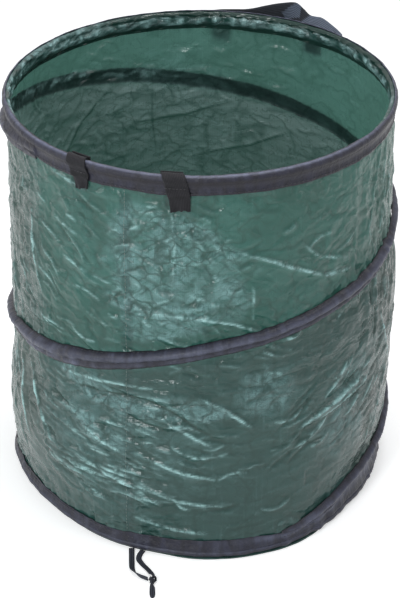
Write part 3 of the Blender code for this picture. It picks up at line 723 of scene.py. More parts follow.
def wall_details():
    """Crumples, folds and gathers of the wall, in metres; the crushed patches, painted paler as a sheen;
    and the crest field of painted highlight and shade along the folds.
    """
    u = turn_field / 360.0
    v = rise_field / 0.5
    warp_u = u + 0.006 * value_noise(u, v, 40, 14, 5)
    warp_v = v + 0.014 * value_noise(u, v, 44, 16, 6)
    outward = np.zeros(turn_field.shape)

    # soft dents all over
    outward += 0.0016 * layered_noise(warp_u, warp_v, 18, 6, 11, 3)

    # long slanting creases: slope, cells round the wall and up it, seed, size
    for slope, wide, tall, seed, size in (
            (0.16, 14, 6, 21, 0.0015), (-0.22, 17, 5, 31, 0.0013),
            (0.05, 9, 13, 35, 0.0013), (-0.06, 12, 15, 38, 0.0010)):
        slant = ridged(layered_noise(warp_u + slope * v, warp_v, wide, tall, seed, 3))
        outward += size * np.clip(slant - 0.45, 0.0, 1.0) ** 1.3

    # crushed facets, strongest in the patches
    coarse = facets(warp_u + 0.05 * v, warp_v, 62, 30, 41)[0]
    fine, fine_edge = facets(warp_u, warp_v, 120, 62, 42)
    long_facets = facets(warp_u + 0.02 * v, warp_v, 34, 44, 43)[0]
    ragged = value_noise(u, v, 60, 24, 44)
    ragged_turn = turn_field + 2.6 * ragged
    ragged_rise = rise_field + 0.010 * ragged
    fallen = rise_field + 0.0016 * (turn_field - 238.0)
    crushed = strongest_patch(ragged_patches, ragged_turn, ragged_rise)
    crushed = np.maximum(crushed, strongest_patch(falling_patches, turn_field, fallen))
    crushed = np.maximum(crushed, strongest_patch(crushed_patches))
    spread = 0.34 + 0.66 * crushed
    below_spiral = below_first_turn(turn_field, rise_field)
    outward += spread * 0.0014 * coarse * (1.0 - 0.6 * below_spiral)
    outward += spread * 0.0003 * fine
    outward += (0.25 + 0.75 * below_spiral) * 0.0008 * long_facets
    edge_line = np.clip(1.0 - fine_edge / 0.14, 0.0, 1.0)
    outward -= crushed * 0.00030 * edge_line

    # gathers that run away from the tapes
    near_rim = np.exp(-np.clip(rim_tape_bottom - rise_field, 0.0, 1.0) / 0.020)
    gathers = ridged(layered_noise(u + 0.01 * v, v, 150, 5, 51, 2))
    outward += 0.0010 * near_rim * gathers
    for _, side in spiral_sides(turn_field, rise_field):
        away = np.clip(np.abs(side) - 0.9, 0.0, 60.0) * spiral_half_width
        patchy = 0.35 + 0.65 * smooth_step(0.5 + value_noise(u, v, 12, 4, 52))
        outward += 0.0013 * patchy * np.exp(-away / 0.016) * ridged(
            layered_noise(u + 0.02 * v, v, 120, 6, 53, 2))
    near_base = np.exp(-np.clip(rise_field - 0.022, 0.0, 1.0) / 0.022)
    outward += 0.0014 * near_base * ridged(layered_noise(u, v, 110, 5, 54, 2))

    # near-level gathers that fan out from the seam
    from_seam = angle_gap(turn_field, seam_angle)
    fan = np.exp(-np.abs(from_seam) / 11.0)
    level = ridged(layered_noise(u, v - 0.9 * np.abs(from_seam) / 360.0, 22, 42, 55, 3))
    below = smooth_step((0.262 - rise_field) / 0.03)
    outward += (0.0004 + 0.0004 * below) * fan * np.clip(level, -0.2, 1.0)

    # upright streaks at the far left and the far right
    sides = np.maximum(patch(turn_field, rise_field, 205.0, 0.33, 22.0, 0.14),
                       patch(turn_field, rise_field, 332.0, 0.36, 20.0, 0.12))
    outward += 0.0010 * sides * ridged(layered_noise(warp_u, v, 130, 3, 56, 2))
    fanned = patch(turn_field, rise_field, 198.0, 0.17, 22.0, 0.06)
    outward += 0.0020 * fanned * ridged(layered_noise(u + 0.10 * v, v, 70, 3, 57, 2))

    # single folds: places along each as angle and height, its width, its size, which way it leans
    folds = (
        (((222.4, 0.467), (235.7, 0.4577)), 0.006, 0.0016, 0.3),
        (((223.4, 0.410), (232.4, 0.398)), 0.006, 0.0013, 0.3),
        (((227.1, 0.365), (235.7, 0.355)), 0.006, 0.0013, 0.3),
        (((238.1, 0.354), (247.0, 0.344)), 0.005, 0.0012, 0.3),
        (((212.4, 0.398), (214.0, 0.345), (216.3, 0.302)), 0.009, 0.0016, 0.0),
        (((281.0, 0.398), (291.3, 0.381), (299.2, 0.3635), (308.8, 0.345), (319.0, 0.338)),
         0.007, 0.0021, 0.4),
        (((300.0, 0.395), (306.0, 0.372), (317.0, 0.356)), 0.006, 0.0014, -0.3),
        (((252.0, 0.322), (262.0, 0.318), (270.0, 0.3162), (279.9, 0.3053), (290.2, 0.2925)),
         0.006, 0.0018, 0.4),
        (((285.2, 0.352), (285.3, 0.311)), 0.006, 0.0012, -0.5),
        (((262.0, 0.455), (263.0, 0.400), (262.0, 0.350)), 0.006, 0.0009, 0.4),
        (((224.6, 0.199), (240.0, 0.203), (254.1, 0.206), (262.0, 0.192), (270.0, 0.171), (279.0, 0.152)),
         0.012, -0.0030, 0.3),
        (((226.0, 0.213), (241.0, 0.219), (256.0, 0.222)), 0.009, 0.0019, -0.3),
        (((256.0, 0.190), (264.0, 0.172), (273.0, 0.150)), 0.010, 0.0017, 0.3),
        (((270.0, 0.2142), (277.2, 0.197), (284.5, 0.1734)), 0.008, 0.0022, 0.4),
        (((300.5, 0.160), (308.0, 0.170), (316.0, 0.1795), (326.0, 0.1900)), 0.010, 0.0034, 0.5),
        (((305.0, 0.157), (316.0, 0.170), (330.0, 0.1830)), 0.007, 0.0020, 0.4),
        (((296.0, 0.150), (309.0, 0.160), (322.0, 0.168)), 0.009, -0.0018, 0.3),
        (((250.4, 0.046), (262.6, 0.036), (272.0, 0.034)), 0.006, 0.0013, 0.3),
        (((232.0, 0.155), (241.0, 0.139), (249.0, 0.128)), 0.008, 0.0016, 0.4),
        (((232.0, 0.110), (241.0, 0.098), (249.0, 0.092)), 0.007, 0.0014, 0.4),
        (((252.0, 0.135), (262.0, 0.118), (274.0, 0.105)), 0.008, 0.0017, 0.4),
        (((252.0, 0.090), (264.0, 0.075), (276.0, 0.068)), 0.007, 0.0013, 0.4),
        (((209.0, 0.19), (214.0, 0.15), (221.0, 0.11)), 0.010, 0.0022, 0.3),
        (((203.0, 0.19), (205.0, 0.14), (208.0, 0.09)), 0.010, 0.0020, 0.3),
        (((335.0, 0.25), (340.0, 0.20), (348.0, 0.15)), 0.010, 0.0020, 0.3),
        (((105.5, 0.40), (105.5, 0.35), (104.0, 0.30)), 0.007, -0.0009, 0.2),
        (((80.0, 0.37), (95.0, 0.35), (112.0, 0.345)), 0.007, -0.0014, 0.2),
        (((60.0, 0.34), (74.0, 0.31), (92.0, 0.29)), 0.008, -0.0016, 0.2),
        (((120.0, 0.40), (132.0, 0.36), (140.0, 0.31)), 0.008, -0.0016, 0.2))
    crest = np.zeros(turn_field.shape)
    fold_swell, crest_width, full_crest, strongest = 1.35, 0.0027, 0.0012, 1.7
    for points, width, height, lean in folds:
        outward += fold_line(points, width, fold_swell * height, lean)
        shown = math.copysign(min(strongest, abs(height) / full_crest), height)
        # painted highlight along each raised fold, painted shade along each sunken one
        crest += fold_line(points, crest_width, shown)
    strew_folds(outward, crest)

    # keep the cloth quiet under the rim's and the base's tape
    held = smooth_step((wall_top - rise_field) / 0.012) * smooth_step((rise_field - wall_foot) / 0.016)
    return outward * held, crushed, crest * held


wall_form = table_field()
wall_detail, wall_crushed, wall_crest = wall_details()


def sampled(field, angle, height):
    """The field's value at any angle and height."""
    x = np.mod(angle, 360.0) / 360.0 * turn_steps
    y = (np.clip(height, wall_foot, wall_top) - wall_foot) / (wall_top - wall_foot) * rise_steps
    left = np.floor(x).astype(int) % turn_steps
    right = (left + 1) % turn_steps
    low = np.clip(np.floor(y).astype(int), 0, rise_steps - 1)
    fx = x - np.floor(x)
    fy = y - low
    bottom = field[left, low] * (1.0 - fx) + field[right, low] * fx
    top = field[left, low + 1] * (1.0 - fx) + field[right, low + 1] * fx
    return bottom * (1.0 - fy) + top * fy


def wall_reach(angle, height, detail):
    """The wall's radius under a tape, which flattens most of the wall's creases."""
    return ring_radius + sampled(wall_form, angle, height) + detail * sampled(wall_detail, angle, height)


# Mesh helpers
def polar_points(radius, angle, height):
    radius, angle, height = np.broadcast_arrays(radius, angle, height)
    turn = np.radians(angle)
    return np.stack((radius * np.cos(turn), radius * np.sin(turn), height), -1)


def linked(name, mesh, surface):
    """The object of a finished mesh, placed in the scene with its material."""
    mesh.shade_smooth()
    mesh.materials.append(surface)
    item = bpy.data.objects.new(name, mesh)
    bpy.context.scene.collection.objects.link(item)
    return item


def grid_mesh(name, points, surface, along, across, closed=False, **fields):
    """A mesh through a grid of points, with cloth coordinates in metres and fields for its material."""
    rows, columns = points.shape[:2]
    mesh = bpy.data.meshes.new(name)
    index = np.arange(rows * columns).reshape(rows, columns)
    first = index if closed else index[:-1]
    following = np.roll(index, -1, 0) if closed else index[1:]
    faces = np.stack((first[:, :-1], following[:, :-1], following[:, 1:], first[:, 1:]), -1).reshape(-1, 4)
    mesh.vertices.add(rows * columns)
    mesh.vertices.foreach_set("co", np.ascontiguousarray(points, np.float32).reshape(-1))
    mesh.loops.add(faces.size)
    mesh.loops.foreach_set("vertex_index", faces.reshape(-1).astype(np.int32))
    mesh.polygons.add(len(faces))
    mesh.polygons.foreach_set("loop_start", np.arange(0, faces.size, 4, dtype=np.int32))
    mesh.update(calc_edges=True)
    mesh.validate()
    length = np.broadcast_to(along, (rows, columns))
    width = np.broadcast_to(across, (rows, columns)).reshape(-1)
    corner = faces.reshape(-1)
    coordinates = np.stack((length.reshape(-1)[corner], width[corner]), -1)
    if closed:
        whole = float(np.max(length)) + float(np.max(np.abs(np.diff(length[:, 0]))))
        row = corner.reshape(-1, 4) // columns
        wraps = (row.max(1) == rows - 1) & (row.min(1) == 0)
        coordinates.reshape(-1, 4, 2)[..., 0][(row == 0) & wraps[:, None]] += whole
    layer = mesh.uv_layers.new(name="cloth")
    layer.data.foreach_set("uv", coordinates.astype(np.float32).reshape(-1))
    for key, values in fields.items():
        values = np.broadcast_to(values, (rows, columns))
        item = mesh.attributes.new(key, "FLOAT", "POINT")
        item.data.foreach_set("value", np.ascontiguousarray(values, np.float32).reshape(-1))
    return linked(name, mesh, surface)


def thicken(item, thickness):
    shell = item.modifiers.new("thickness", "SOLIDIFY")
    shell.thickness = thickness
    shell.offset = 0.0
    shell.use_even_offset = False


def dress(item, body, node=None):
    """Put a piece on its body, and let it stand for its solid."""
    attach(item, body)
    if node is not None:
        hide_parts(node)


def folds_with_bag(item):
    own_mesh(item)


def wear_of(height_field, scale):
    """Where a field has sharp outward ridges, from 0 to 1."""
    smooth = blurred(height_field, 6)
    return np.clip((height_field - smooth) / scale, 0.0, 1.0)


def unit(vectors):
    return vectors / np.linalg.norm(vectors, axis=1)[:, None]


def travelled_along(points):
    """The distance covered at each point of a line."""
    return np.concatenate(((0.0,), np.cumsum(np.linalg.norm(np.diff(points, axis=0), axis=1))))


def stitch_line(name, centres, alongs, normals, surface, length=0.0030, radius=0.00030):
    """Small thread stitches, each a thin bar sunk at its ends."""
    centres, alongs, normals = (np.asarray(item, float) for item in (centres, alongs, normals))
    alongs = unit(alongs)
    sides = unit(np.cross(alongs, normals))
    outs = np.cross(sides, alongs)
    points = []
    for share, lift in ((-0.5, -0.7), (-0.28, 0.55), (0.28, 0.55), (0.5, -0.7)):
        middle = centres + alongs * length * share + outs * radius * lift
        for corner in range(4):
            turn = math.radians(45.0 + 90.0 * corner)
            points.append(middle + sides * radius * math.cos(turn) + outs * radius * math.sin(turn))
    points = np.stack(points, 1)
    faces = []
    for ring in range(3):
        for corner in range(4):
            after = (corner + 1) % 4
            first, following = ring * 4, ring * 4 + 4
            faces.append((first + corner, first + after, following + after, following + corner))
    every_face = (np.array(faces)[None] + 16 * np.arange(len(centres))[:, None, None]).reshape(-1, 4)
    mesh = bpy.data.meshes.new(name)
    mesh.from_pydata(points.reshape(-1, 3).tolist(), [], every_face.tolist())
    return linked(name, mesh, surface)


def ring_stitches(name, height, lift, body):
    """A row of stitches round the bag, standing off the wall and the spiral's tape."""
    count = round(math.tau * ring_radius / ring_stitch_step)
    angle = np.arange(count) * 360.0 / count
    height, cover_height = height
    cover = spiral_cover(angle, cover_height)
    radius = wall_reach(angle, cover_height, tape_detail) + lift[0] + lift[1] * cover
    stitches = stitch_line(
        name, polar_points(radius, angle, height), polar_points(1.0, angle + 90.0, 0.0),
        polar_points(1.0, angle, 0.0), dark_thread)
    dress(stitches, body)


def round_tube(name, path, radius, surface, sides):
    """A round tube through the points, with closed ends."""
    path = np.asarray(path, float)
    along = unit(np.gradient(path, axis=0))
    side = unit(np.cross(along, np.tile((0.0, 0.0, 1.0), (len(path), 1))))
    rise = np.cross(side, along)
    turn = np.arange(sides) * math.tau / sides
    rings = (path[:, None] + radius * (np.cos(turn)[None, :, None] * side[:, None]
                                       + np.sin(turn)[None, :, None] * rise[:, None]))
    index = np.arange(len(path) * sides).reshape(len(path), sides)
    after = np.roll(index, -1, 1)
    faces = np.stack((index[:-1], after[:-1], after[1:], index[1:]), -1).reshape(-1, 4).tolist()
    faces.append(index[0].tolist()[::-1])
    faces.append(index[-1].tolist())
    mesh = bpy.data.meshes.new(name)
    mesh.from_pydata(rings.reshape(-1, 3).tolist(), [], faces)
    return linked(name, mesh, surface)


def arc_profile(radius, first, last, steps):
    turn = np.radians(np.linspace(first, last, steps))
    return radius * np.cos(turn), radius * np.sin(turn)


class Band:
    """A closed band of cloth round the bag, built line by line across its width."""

    def __init__(self, columns, width, *names):
        self.columns = columns
        self.width = width
        self.points = np.zeros((ring_steps, columns, 3))
        self.fields = {name: np.zeros((ring_steps, columns)) for name in names}

    def line(self, column, radius, height, **values):
        self.points[:, column] = polar_points(radius, ring_angle, height)
        for key, value in values.items():
            self.fields[key][:, column] = value

    def mesh(self, name, surface, radius):
        along = (ring_angle * math.pi / 180.0 * radius)[:, None]
        across = np.arange(self.columns) / (self.columns - 1) * self.width
        return grid_mesh(name, self.points, surface, along, across[None], True, **self.fields)


# Wall
# Where a warm reflection is painted at the wall's sides, and where the cloth is smooth: middle angle
# and height, half the reach in degrees and in metres, strength, softness of the edge
dusty_patches = (
    (337.0, 0.12, 15.0, 0.10, 0.75, 0.6), (343.0, 0.33, 10.0, 0.14, 0.55, 0.5),
    (204.0, 0.17, 10.0, 0.09, 0.45, 0.8), (204.0, 0.36, 9.0, 0.11, 0.40, 0.8))
smooth_patches = (
    (290.0, 0.09, 34.0, 0.095, 1.0, 0.35), (222.0, 0.06, 17.0, 0.085, 0.8, 0.4),
    (290.0, 0.42, 22.0, 0.035, 0.5, 0.4))

# The sewn ends whose painted shade darkens the cloth in front of them: middle angle, strength
ends_seen_through = (
    (seam_angle - handle_half_angle, 0.6), (seam_angle + handle_half_angle, 0.6),
    (back_left_angle, 0.8), (back_right_angle, 0.12))


def add_wall():
    u = turn_field / 360.0
    v = rise_field / 0.5
    points = polar_points(ring_radius + wall_form + wall_detail, turn_field, rise_field)
    mottled = 0.75 + 0.5 * layered_noise(u, v, 50, 8, 63)
    # painted shade where the spiral's tape, the sewn ends and the seam behind the cloth block the light
    # through it
    through = np.clip(spiral_cover(turn_field, rise_field) / 0.003, 0.0, 1.0)
    through *= 0.75 + 0.25 * layered_noise(u, v, 90, 30, 61, 2)
    for middle, amount in ends_seen_through:
        across = smooth_step((3.4 - np.abs(angle_gap(turn_field, middle))) / 0.9)
        up = smooth_step((rise_field - 0.453) / 0.006)
        through = np.maximum(through, amount * across * up)
    seam = smooth_step((1.1 - np.abs(angle_gap(turn_field, seam_angle + 1.2))) / 0.3)
    through = np.maximum(through, 0.16 * seam)
    # painted highlights along fold crests, with paler sharp ridges
    wear = np.clip(wall_crest, 0.0, 1.0) + 0.12 * wear_of(wall_detail, wall_wear_scale)
    # a painted highlight along the spiral's band on the inner left wall, which also lifts the painted
    # shade there
    inner_left = patch(turn_field, rise_field, 150.0, 0.40, 46.0, 0.14, 0.5)
    broken = np.clip(2.2 * layered_noise(u + 0.6 * rise_field, v, 70, 40, 65), 0.0, 1.0)
    for _, side in spiral_sides(turn_field, rise_field):
        lit = np.clip(1.6 * inner_left * broken, 0.0, 1.0) * np.exp(-((side - 0.35) / 0.50) ** 2)
        through = through * (1.0 - 0.95 * lit)
        wear = np.maximum(wear, 2.0 * lit)
    item = grid_mesh(
        "wall_cloth", points, cloth, turn_field * math.pi / 180.0 * ring_radius, rise_field, True,
        wear=wear,
        # painted sheen that pales the crushed patches
        haze=np.clip(wall_crushed * (0.75 + 0.5 * layered_noise(u, v, 40, 16, 62)), 0.0, 1.0),
        through=through,
        # painted shade in fold valleys and sharp hollows
        hollow=np.clip(-wall_crest, 0.0, 1.0) + 0.5 * wear_of(-wall_detail, wall_wear_scale),
        # painted warm reflection at the wall's left and right sides
        dust=np.clip(strongest_patch(dusty_patches) * mottled, 0.0, 1.0),
        calm=strongest_patch(smooth_patches),
        level=below_first_turn(turn_field, rise_field))
    dress(item, "base", "wall_panel")
    folds_with_bag(item)


def add_seam():
    """The seam's folded edge inside, and its row of stitches on the outside."""
    heights = np.linspace(0.022, 0.466, 220)
    height, share = np.meshgrid(heights, np.linspace(-1.0, 1.0, 9), indexing="ij")
    angle = seam_angle + share * math.degrees(seam_half_width / ring_radius)
    uneven = value_noise(height / 0.5, share * 0.1, 60, 3, 71)
    lift = 0.0012 + 0.0008 * (1.0 - share * share) + 0.0005 * uneven
    points = polar_points(wall_reach(angle, height, 1.0) - lift, angle, height)
    # a painted sheen over the fold, with paler folded edges
    item = grid_mesh("seam_fold", points, cloth, height, share * seam_half_width,
                     wear=0.15 + 0.4 * np.abs(share) ** 8, haze=0.6)
    thicken(item, 0.0007)
    dress(item, "base", "wall_seam_fold")
    folds_with_bag(item)
    level = np.arange(0.026, 0.468, 0.0046)
    uneven = value_noise(level / 0.5, 0.3, 30, 3, 73)
    turn = seam_angle - math.degrees(0.0006 / ring_radius) + 0.15 * uneven
    centres = polar_points(wall_reach(turn, level, 1.0) + 0.0003, turn, level)
    upward = np.tile((0.0, 0.0, 1.0), (len(centres), 1))
    stitches = stitch_line(
        "seam_stitches", centres, upward, centres * (1.0, 1.0, 0.0), pale_thread, 0.0030, 0.00032)
    dress(stitches, "base")
    folds_with_bag(stitches)


# Spiral tape
def add_spiral():
    place = np.linspace(0.0, len(spiral_section) - 1.0, 31)
    knots = np.arange(len(spiral_section))
    side, depth = (np.interp(place, knots, values) for values in zip(*spiral_section))
    for values in (side, depth, side, depth):
        values[1:-1] = np.convolve(values, (0.25, 0.5, 0.25), "valid")
    run = np.linspace(0.0, spiral_sweep, 1500)
    run_field, side_field = np.meshgrid(run, side, indexing="ij")
    depth_field = np.broadcast_to(depth, run_field.shape)
    angle = spiral_start - run_field
    u = run_field / 720.0
    v = (side_field + 1.5) / 3.0
    pucker = ridged(layered_noise(u, v * 0.3, 150, 4, 81))
    ruffle = layered_noise(u, v, 190, 3, 82)
    patchy = 0.4 + 0.6 * smooth_step(0.5 + 0.9 * value_noise(u, 0.5, 26, 2, 83))
    wander = layered_noise(u, 0.2, 110, 3, 84)
    height = spiral_height(run_field) + side_field * spiral_width(run_field)
    height = height + 0.0011 * patchy * wander * (0.35 + np.abs(side_field) ** 3)
    out = depth_field * spiral_depth_scale(run_field) * (1.0 + 0.10 * value_noise(u, v, 60, 2, 85))
    folds = 0.0011 * patchy * pucker * (0.35 + 0.65 * (1.0 - np.abs(depth_field - 0.5))) + 0.0007 * ruffle
    crest = np.exp(-((side_field - 0.40) / 0.30) ** 2)
    lift = np.clip(folds * (1.0 - 0.55 * crest), -0.0012, 0.0022)
    crumpled = np.exp(-((run_field - spiral_sag_run) / 22.0) ** 2)
    lift = lift + 0.0012 * crumpled * np.clip(layered_noise(u + 0.012 * v, v * 0.6, 100, 4, 86), -0.5, 1.0)
    ends = smooth_step(run_field / 5.0) * smooth_step((spiral_sweep - run_field) / 5.0)
    base = wall_reach(angle, height, spiral_detail) + spiral_gap
    points = polar_points(base + out + lift * (0.25 + 0.75 * ends), angle, height)
    # painted shade along both edges of the tape and in the groove below its crest; painted highlight on
    # its puckers and along its crest
    hollow = 0.9 * smooth_step((np.abs(side_field - 0.08) - 0.80) / 0.14)
    item = grid_mesh(
        "spiral_tape", points, tape, run_field * math.pi / 180.0 * ring_radius,
        side_field * spiral_half_width,
        wear=np.clip(lift / 0.0014, 0.0, 1.0) * (0.45 + 0.25 * crumpled) + (0.55 - 0.3 * crumpled) * crest,
        hollow=hollow + 0.5 * np.exp(-((side_field + 0.22) / 0.16) ** 2))
    thicken(item, tape_thickness)
    dress(item, "base", "spiral_sleeve")
    folds_with_bag(item)

    wire_run = np.linspace(6.0, spiral_sweep - 8.0, 640)
    turn = spiral_start - wire_run
    level = spiral_height(wire_run) + 0.36 * spiral_half_width
    radius = wall_reach(turn, level, spiral_detail) + spiral_gap
    radius = radius + 0.58 * spiral_depth_scale(wire_run) - 0.0004
    path = polar_points(radius, turn, level)
    wire = round_tube("spiral_spring", path, wire_radius * 0.98, spring_steel, 8)
    dress(wire, "base", "spiral_wire")
    folds_with_bag(wire)

    marks = np.arange(8.0, spiral_sweep - 8.0, math.degrees(0.0056 / ring_radius))
    turn = spiral_start - marks
    rows = []
    for across in (-0.80, 0.965):
        level = spiral_height(marks) + across * spiral_width(marks)
        uneven = layered_noise(marks / 720.0, 0.2, 110, 3, 84)
        level = level + 0.0011 * 0.6 * uneven * (0.35 + abs(across) ** 3)
        share = np.interp(across, side, depth)
        radius = wall_reach(turn, level, spiral_detail) + 0.0013 + share * spiral_depth_scale(marks)
        rows.append(polar_points(radius, turn, level))
    centres = np.concatenate(rows)
    lines = np.concatenate([np.gradient(row, axis=0) for row in rows])
    stitches = stitch_line(
        "spiral_stitches", centres, lines, centres * (1.0, 1.0, 0.0), dark_thread, 0.0031, 0.00032)
    dress(stitches, "base")
    folds_with_bag(stitches)


# Rim
def add_rim_tape():
    """Binding from the wire's top, further in at the front, down the outside to its lower edge."""
    arc_count, lap_count = 15, 11
    tube = 0.0047
    tuck_angle = 38.0
    front = arc_patch(ring_angle, 262.0, 62.0, 0.3)
    tape_start = 74.0 + 60.0 * front + 9.0 * layered_noise(ring_u, 0.7, 44, 3, 96) * (1.0 - front)
    bottom = rim_tape_bottom + 0.0010 * layered_noise(ring_u, 0.3, 70, 3, 91)
    top = rim_wire_height - tube * math.sin(math.radians(tuck_angle))
    start = ring_radius + tube * math.cos(math.radians(tuck_angle))
    band = Band(arc_count + lap_count, 0.034, "wear", "hollow")
    for column in range(band.columns):
        share = column / (band.columns - 1)
        gather = layered_noise(ring_u, 0.2 * share, 150, 4, 92)
        if column < arc_count:
            swell = tube * (1.0 + 0.05 * value_noise(ring_u, share, 40, 3, 93))
            turn = np.radians(tape_start - (tape_start + tuck_angle) * column / (arc_count - 1))
            push = 0.00028 * gather + 0.0003 * ridged(layered_noise(ring_u, 0.3 * share, 90, 3, 94, 2))
            # painted highlight along the top of the tube, stronger at the front; painted shade along its
            # inner top edge and below the tube
            band.line(
                column, ring_radius + (swell + push) * np.cos(turn),
                rim_wire_height + swell * np.sin(turn) + np.clip(push * np.sin(turn), -1.0, 0.0004),
                wear=np.exp(-((np.degrees(turn) - 74.0) / 22.0) ** 2) * (0.55 + 0.45 * front),
                hollow=(1.4 * smooth_step((np.degrees(turn) - 100.0) / 10.0)
                        + 0.9 * smooth_step((10.0 - np.degrees(turn)) / 30.0)))
        else:
            down = (column - arc_count + 1.0) / lap_count
            height = top + (bottom - top) * down
            flat = wall_reach(ring_angle, height, tape_detail) + 0.0012 + spiral_cover(ring_angle, height)
            radius = np.maximum(start + (flat - start) * smooth_step(min(down * 1.8, 1.0)), flat)
            # painted highlight on the lap's gathers; painted shade under the tube, faintly over the lap,
            # and at the lap's lower edge
            band.line(
                column, np.maximum(radius + down * (0.0006 + 0.0007 * gather), flat), height,
                wear=np.clip(gather, 0.0, 1.0) * 0.3 * down,
                hollow=0.9 * math.exp(-(down / 0.22) ** 2) + 0.10 + 0.6 * smooth_step((down - 0.85) / 0.1))
    item = band.mesh("rim_tape", tape, ring_radius)
    thicken(item, tape_thickness)
    dress(item, "rim", "rim_sleeve")
    ring_stitches(
        "rim_stitches", (rim_tape_bottom + 0.0026, rim_tape_bottom + 0.0022), (0.0024, 1.0), "rim")


def add_hem():
    """The hem from its crinkled lower edge inside, up and over the wire."""
    leg_count = 16
    arc_first, arc_last = 200.0, 70.0
    arc_out, arc_up = arc_profile(0.0036, arc_first, arc_last, 9)
    top = rim_wire_height + arc_up[0]
    tuck = ring_radius + arc_out[0]
    low = bag_height - 0.0235 + 0.0013 * layered_noise(ring_u, 0.6, 36, 3, 101)
    behind = 1.0 - arc_patch(ring_angle, 172.0, 48.0, 0.4)
    right = 1.0 - arc_patch(ring_angle, 325.0, 34.0, 0.4)
    jagged = 0.55 + 0.16 * ridged(layered_noise(ring_u, 0.4, 70, 3, 104))
    band = Band(leg_count + len(arc_out), 0.036, "wear", "haze", "hollow")
    for column in range(band.columns):
        share = column / (band.columns - 1)
        crinkle = layered_noise(ring_u, 0.35 * share, 95, 4, 102)
        scallop = ridged(layered_noise(ring_u, 0.2 * share, 62, 3, 103, 2))
        if column < leg_count:
            down = 1.0 - column / leg_count
            height = top + (low - top) * down
            hang = wall_reach(ring_angle, height, tape_detail) - 0.0010
            belly = math.sin(math.pi * min(1.0, 1.15 * down))
            radius = tuck + (hang - tuck) * smooth_step(down)
            radius = radius - belly * (0.0014 + 0.0016 * scallop) - 0.0012 * crinkle * (0.3 + 0.7 * down)
            radius = np.minimum(radius, hang)
        else:
            index = column - leg_count
            turn = math.radians(arc_first + (arc_last - arc_first) * index / (len(arc_out) - 1))
            push = 0.0005 * scallop + 0.0003 * crinkle
            radius = ring_radius + arc_out[index] + push * math.cos(turn)
            height = rim_wire_height + arc_up[index] + np.clip(push * math.sin(turn), -1.0, 0.00025)
        # painted shade along the hem's jagged top edge, for the gap under the tape
        top_band = smooth_step((share - jagged) / 0.07) * behind * right
        streaks = np.clip(0.55 + 1.1 * layered_noise(ring_u, 0.8 * share, 120, 5, 105), 0.0, 1.0)
        # a painted sheen band across the hem, and at the back a painted highlight along its crests
        wide_band = smooth_step((share - 0.26) / 0.1) * (1.0 - top_band) * behind
        along_crest = math.exp(-((share - 0.80) / 0.13) ** 2)
        along_crest += 0.6 * math.exp(-((share - 0.42) / 0.06) ** 2)
        lit = 1.5 * (1.0 - behind) * along_crest
        # painted highlight on the scallops; painted shade on the hem's lower part, its top edge and its
        # crinkle valleys
        band.line(
            column, radius, height,
            wear=(np.clip(scallop, 0.0, 1.0) * math.sin(math.pi * min(1.0, share * 1.3)) * 0.9
                  + lit * streaks),
            haze=np.clip(wide_band + lit, 0.0, 1.0) * streaks,
            hollow=(1.5 * (1.0 - smooth_step((share - 0.16) / 0.12)) + 1.3 * top_band
                    + 1.2 * np.clip(-crinkle - 0.10, 0.0, 1.0)))
    item = band.mesh("rim_hem_cloth", hem_cloth, ring_radius)
    thicken(item, 0.0005)
    dress(item, "rim", "rim_hem")


# Base
def add_base_tape():
    """Binding that laps the wall's foot and closes round the hoop."""
    lap_count = 12
    arc_start, arc_end = 52.0, -246.0
    arc_out, arc_up = arc_profile(0.0037, arc_start, arc_end, 28)
    wide = arc_patch(ring_angle, 268.0, 22.0)
    lumpy = arc_patch(ring_angle, 318.0, 34.0)
    joined = np.interp(
        ring_angle, (292.0, 303.0, 315.0, 328.0, 338.0, 347.0), (0.0, 0.0015, 0.0050, 0.0115, 0.0080, 0.0))
    top_edge = 0.0195 + 0.0022 * layered_noise(ring_u, 0.4, 44, 3, 111) + 0.0040 * wide + joined
    ridges = ridged(layered_noise(ring_u, 0.1, 58, 3, 112, 2))
    bumps = (0.0009 + 0.0014 * lumpy) * np.clip(ridges, -0.5, 1.0)
    hoop = base_wire_radius + foot_pull(ring_angle)
    band = Band(lap_count + len(arc_out), 0.047, "wear", "hollow")
    for column in range(band.columns):
        share = column / (band.columns - 1)
        gather = layered_noise(ring_u, 0.3 * share, 140, 4, 113)
        if column < lap_count:
            down = column / lap_count
            height = top_edge + (base_wire_height + arc_up[0] - top_edge) * down
            flat = wall_reach(ring_angle, height, tape_detail) + 0.0011
            flat = flat + 0.9 * spiral_cover(ring_angle, height)
            radius = flat + (np.maximum(hoop + arc_out[0], flat) - flat) * smooth_step(down)
            radius = np.maximum(radius + 0.0006 + 0.0008 * gather + bumps * down, flat)
        else:
            index = column - lap_count
            turn = math.radians(arc_start + (arc_end - arc_start) * index / (len(arc_out) - 1))
            push = 0.0004 * gather + bumps * max(0.0, math.cos(turn))
            radius = hoop + arc_out[index] + push * math.cos(turn)
            height = np.maximum(base_wire_height + arc_up[index] + push * math.sin(turn), 0.0022)
        # painted highlights on the gathers, near the lap's top where it is lumpy and along the hoop;
        # painted shade under the hoop and along the lap's top edge
        edge_light = 0.55 * lumpy * math.exp(-((share - 0.086) / 0.086) ** 2)
        hoop_light = 0.25 * math.exp(-((share - 0.36) / 0.072) ** 2)
        band.line(
            column, radius, height,
            wear=np.clip(gather, 0.0, 1.0) * 0.30 + edge_light + hoop_light,
            hollow=0.8 * smooth_step((share - 0.445) / 0.144) + 0.3 * smooth_step((0.043 - share) / 0.043))
    item = band.mesh("base_tape", tape, base_wire_radius)
    thicken(item, tape_thickness)
    dress(item, "base", "base_sleeve")
    ring_stitches("base_stitches", (base_stitch_height, base_stitch_height), (0.0029, 0.9), "base")


